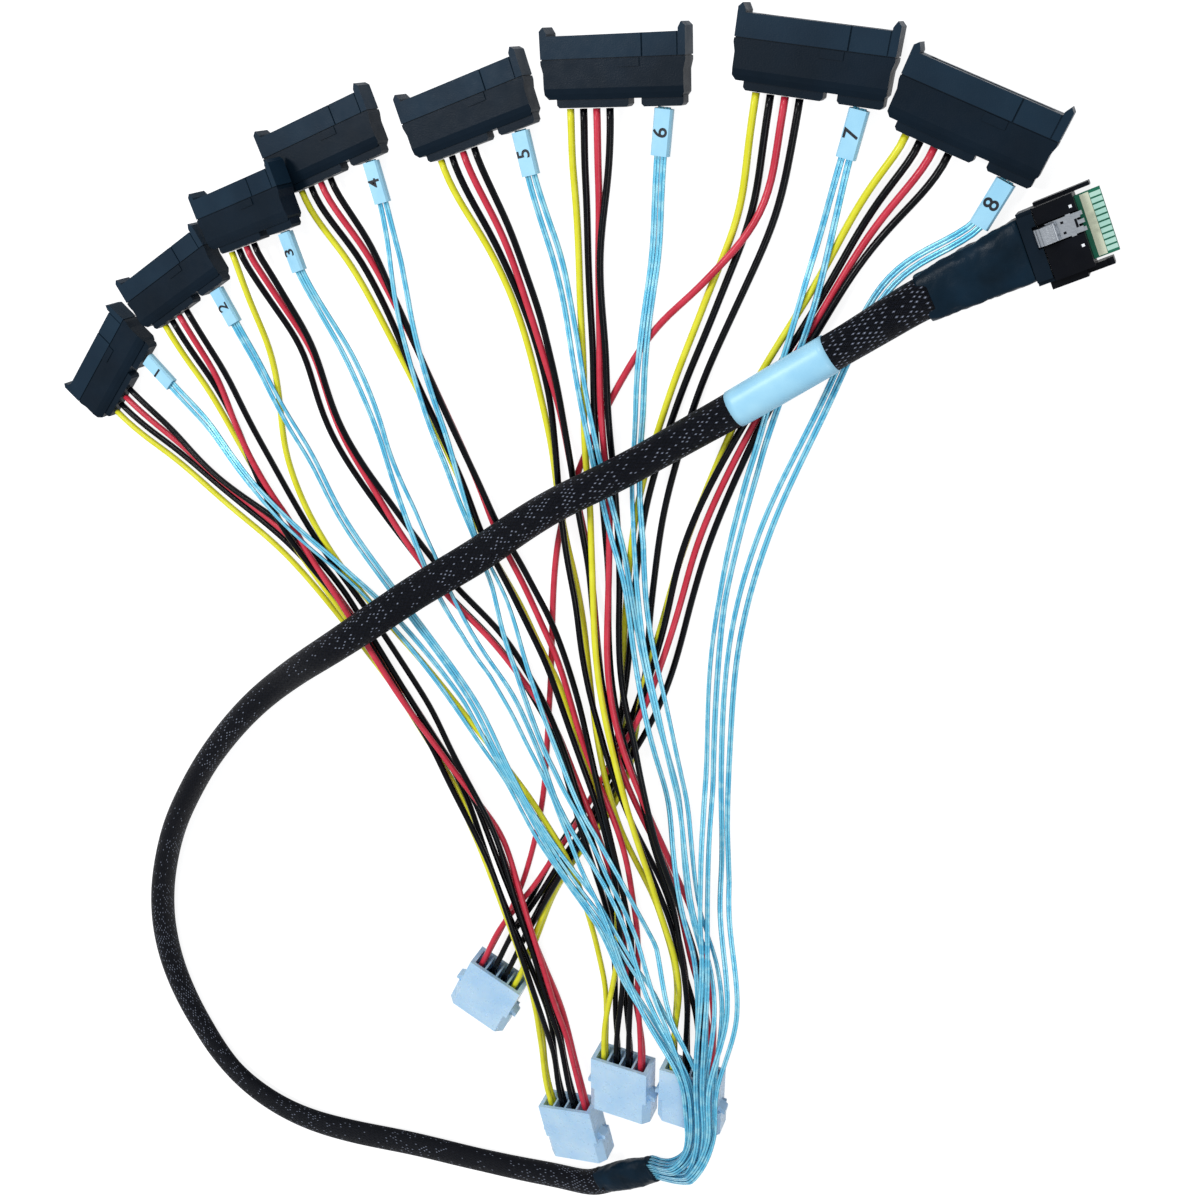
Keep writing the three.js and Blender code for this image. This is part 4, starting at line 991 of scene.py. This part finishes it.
def collar_half(t):
    """The same for the collar, which is widest in the middle."""
    close = 0.94 + 0.06 * math.cos(math.pi * 2 * (t - 0.5))
    return COLLAR_WIDTH / 2 * close - 0.1, COLLAR_THICK / 2 * close - 0.1, 2.3


collar_path = np.array([
    tuple(at(collar_spot, s, 0, COLLAR_THICK / 2))
    for s in np.linspace(SEAT_GAP, COLLAR_LENGTH + SEAT_GAP, 36)
])
collar = tube("shrunk_collar", collar_path, wrinkled(48, collar_half, 9.7, 0.4), LOOKS["shrink_black"])
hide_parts("breakout_collar")

# Rigid pieces keep their solids, with finishes and softened edges
EDGE_WIDTH = 0.00016
EDGE_ANGLE = 30
for subpart in frame["record"]["subparts"]:
    o = nodes[subpart["node"]]
    if o.hide_render:
        continue
    o.data.materials.clear()
    o.data.materials.append(LOOKS[subpart["material_slot"]])
    edge = o.modifiers.new("soft_edge", "BEVEL")
    edge.width = EDGE_WIDTH
    edge.segments = 2
    edge.limit_method = "ANGLE"
    edge.angle_limit = math.radians(EDGE_ANGLE)

# The joint line between receptacle and backshell is closed by the tongue inside
across, along = DRIVE_WIDTH / 2 - 0.25, SEAT_GAP / 2
tongue = (-across, across, -along, along, 0.4, DRIVE_THICK - 0.3)
boxes("drive_tongues", [(spot, tongue) for spot in drive_spots], LOOKS["shell_black"])

# Contacts in the drive receptacles: the first one's place and the number of each row
DRIVE_CONTACTS = ((-13.6, 15), (8.2, 7))
DRIVE_CONTACT_PITCH = 1.27
contact_y = (1.4, STRIP_DEPTH - 0.7)
contact_z = (DRIVE_THICK / 2 - 0.9, DRIVE_THICK / 2 - 0.75)
rows = []
for spot in drive_spots:
    for first_x, number_of in DRIVE_CONTACTS:
        for k in range(number_of):
            x = first_x + k * DRIVE_CONTACT_PITCH
            rows.append((spot, (x - 0.3, x + 0.3, *contact_y, *contact_z)))
boxes("drive_contacts", rows, contact_gold)

# The card's ground strip and contact fingers, and the two dots on the host housing
FINGERS = 10
FINGER_PITCH = 1.52
card_top = HOST_THICK * 0.45 + CARD_THICK / 2
ground_y = (-CARD_WIDTH / 2 + 0.3, CARD_WIDTH / 2 - 0.3)
rows = [(host_spot, (HOST_LENGTH + 1.1, HOST_LENGTH + 3.2, *ground_y, card_top, card_top + 0.03))]
boxes("card_ground", rows, pad_ground)
finger_x = (HOST_LENGTH + 3.3, HOST_LENGTH + CARD_REACH - 0.1)
rows = []
for k in range(FINGERS):
    y = -CARD_WIDTH / 2 + 1.3 + k * FINGER_PITCH
    rows.append((host_spot, (*finger_x, y - 0.55, y + 0.55, card_top, card_top + 0.04)))
boxes("card_fingers", rows, pad_blue)
dot_x, dot_z = (12.4, 13.1), (HOST_THICK, HOST_THICK + 0.03)
rows = [(host_spot, (*dot_x, y - 0.35, y + 0.35, *dot_z)) for y in (6.5, -3.5)]
boxes("housing_dots", rows, marker_white)

# Two low steps at the side of the host housing
skirt = (2.6, 11.6, -HOST_WIDTH / 2 - 2.1, -HOST_WIDTH / 2 + 0.2, 0.0, 5.6)
step = (11.6, HOST_LENGTH + 2.4, -HOST_WIDTH / 2 - 1.2, -HOST_WIDTH / 2 + 0.2, 0.0, 4.4)
boxes("host_side_block", [(host_spot, skirt), (host_spot, step)], LOOKS["host_black"])

# Latch details: a ribbed thumb roll, teeth on the front edge, raised stops and three dark holes
latch_spot = host_spot @ Matrix.Translation((0, LATCH_SHIFT, 0))
LATCH_TOP = 7.8
ROLL_CENTRE = (5.7, 8.0)
ROLL_RADIUS = 2.8
ROLL_WALL = 0.35
ROLL_HALF = 2.2
ROLL_RIBS = 4
ROLL_STEPS = 48
RIB_HEIGHT = 0.16
vertices, faces = [], []
arc = np.radians(np.linspace(-8, 186, ROLL_STEPS + 1))
for y in (-ROLL_HALF, ROLL_HALF):
    for inset in (0.0, ROLL_WALL):
        for k, a in enumerate(arc):
            wave = max(0.0, math.sin(math.pi * ROLL_RIBS * 2 * k / ROLL_STEPS))
            r = ROLL_RADIUS - inset + (RIB_HEIGHT * wave if inset == 0 else 0.0)
            x, z = ROLL_CENTRE[0] + r * math.cos(a), ROLL_CENTRE[1] + r * math.sin(a)
            vertices.append(tuple(at(latch_spot, x, y, z)))
count = len(arc)
for k in range(count - 1):
    outer, inner, far_outer, far_inner = k, count + k, 2 * count + k, 3 * count + k
    faces += [
        (outer, outer + 1, far_outer + 1, far_outer),
        (inner, far_inner, far_inner + 1, inner + 1),
        (outer, inner, inner + 1, outer + 1),
        (far_outer, far_outer + 1, far_inner + 1, far_inner),
    ]
for k in (0, count - 1):
    quad = (k, 2 * count + k, 3 * count + k, count + k)
    faces.append(quad if k == 0 else quad[::-1])
piece("latch_thumb_roll", metres(vertices), faces, LOOKS["latch_steel"], "latch")
tooth_x, tooth_z = (HOST_LENGTH - 0.7, HOST_LENGTH + 0.9), (LATCH_TOP - 0.3, LATCH_TOP + 0.15)
teeth = [(latch_spot, (*tooth_x, y - 0.5, y + 0.5, *tooth_z)) for y in (-2.0, 0.0, 2.0)]
teeth += [(latch_spot, (11.0, 12.2, y - 0.5, y + 0.5, LATCH_TOP, LATCH_TOP + 0.3)) for y in (-2.3, 2.3)]
boxes("latch_teeth", teeth, LOOKS["latch_steel"], "latch")
hole_z = (LATCH_TOP, LATCH_TOP + 0.02)
holes = [(latch_spot, (9.4, 10.1, y - 0.3, y + 0.3, *hole_z)) for y in (-1.3, 1.3)]
holes.append((latch_spot, (12.6, 13.2, -1.1, 1.1, *hole_z)))
boxes("latch_holes", holes, LOOKS["host_black"], "latch")

# Floor, background and light
FLOOR_HALF = 3
FLOOR_DROP = 0.0001
FLOOR_GLOW = 0.88
SKY_SHOWN = 1.0
SKY_LIGHT = 0.5


def seen_strength(tree, kinds, shown, other):
    """One strength for what rays of these kinds see, and another for the light that is given."""
    path = tree.nodes.new("ShaderNodeLightPath")
    total = path.outputs[kinds[0]]
    for kind in kinds[1:]:
        larger = tree.nodes.new("ShaderNodeMath")
        larger.operation = "MAXIMUM"
        tree.links.new(total, larger.inputs[0])
        tree.links.new(path.outputs[kind], larger.inputs[1])
        total = larger.outputs[0]
    span = tree.nodes.new("ShaderNodeMapRange")
    tree.links.new(total, span.inputs["Value"])
    span.inputs["To Min"].default_value = other
    span.inputs["To Max"].default_value = shown
    return span.outputs["Result"]


corners = [(x * FLOOR_HALF, y * FLOOR_HALF, 0) for x, y in ((-1, -1), (1, -1), (1, 1), (-1, 1))]
floor_mesh = bpy.data.meshes.new("floor")
floor_mesh.from_pydata(corners, [], [(0, 1, 2, 3)])
floor = bpy.data.objects.new("floor", floor_mesh)
floor.location.z = -FLOOR_DROP
bpy.context.scene.collection.objects.link(floor)
ground = bpy.data.materials.new("floor")
ground.use_nodes = True
tree = ground.node_tree
tree.nodes.clear()
output = tree.nodes.new("ShaderNodeOutputMaterial")
glow = tree.nodes.new("ShaderNodeEmission")
glow.inputs["Color"].default_value = (1, 1, 1, 1)
matte = tree.nodes.new("ShaderNodeBsdfDiffuse")
matte.inputs["Color"].default_value = (0.3, 0.3, 0.31, 1)
both = tree.nodes.new("ShaderNodeAddShader")
seen_by = ("Is Camera Ray", "Is Glossy Ray", "Is Transmission Ray")
tree.links.new(seen_strength(tree, seen_by, FLOOR_GLOW, 0.0), glow.inputs["Strength"])
tree.links.new(glow.outputs[0], both.inputs[0])
tree.links.new(matte.outputs[0], both.inputs[1])
tree.links.new(both.outputs[0], output.inputs["Surface"])
floor_mesh.materials.append(ground)

world = bpy.data.worlds.new("studio")
bpy.context.scene.world = world
world.use_nodes = True
tree = world.node_tree
sky = tree.nodes["Background"]
sky.inputs["Color"].default_value = (0.93, 0.96, 1.0, 1)
tree.links.new(seen_strength(tree, ("Is Camera Ray",), SKY_SHOWN, SKY_LIGHT), sky.inputs["Strength"])


def light(name, spot, aim, size, power):
    data = bpy.data.lights.new(name, "AREA")
    data.shape = "DISK"
    data.size = size
    data.energy = power
    o = bpy.data.objects.new(name, data)
    o.location = spot
    o.rotation_mode = "QUATERNION"
    o.rotation_quaternion = (Vector(spot) - Vector(aim)).to_track_quat("Z", "Y")
    bpy.context.scene.collection.objects.link(o)


light("key", (-0.55, 0.35, 0.9), (0, 0, 0), 0.26, 5.5)
light("fill", (0.7, -0.2, 0.8), (0, 0, 0), 0.5, 2.2)
light("back", (0.1, 0.9, 0.7), (0, 0.1, 0), 0.26, 2.6)

bpy.context.scene.view_settings.view_transform = "Standard"
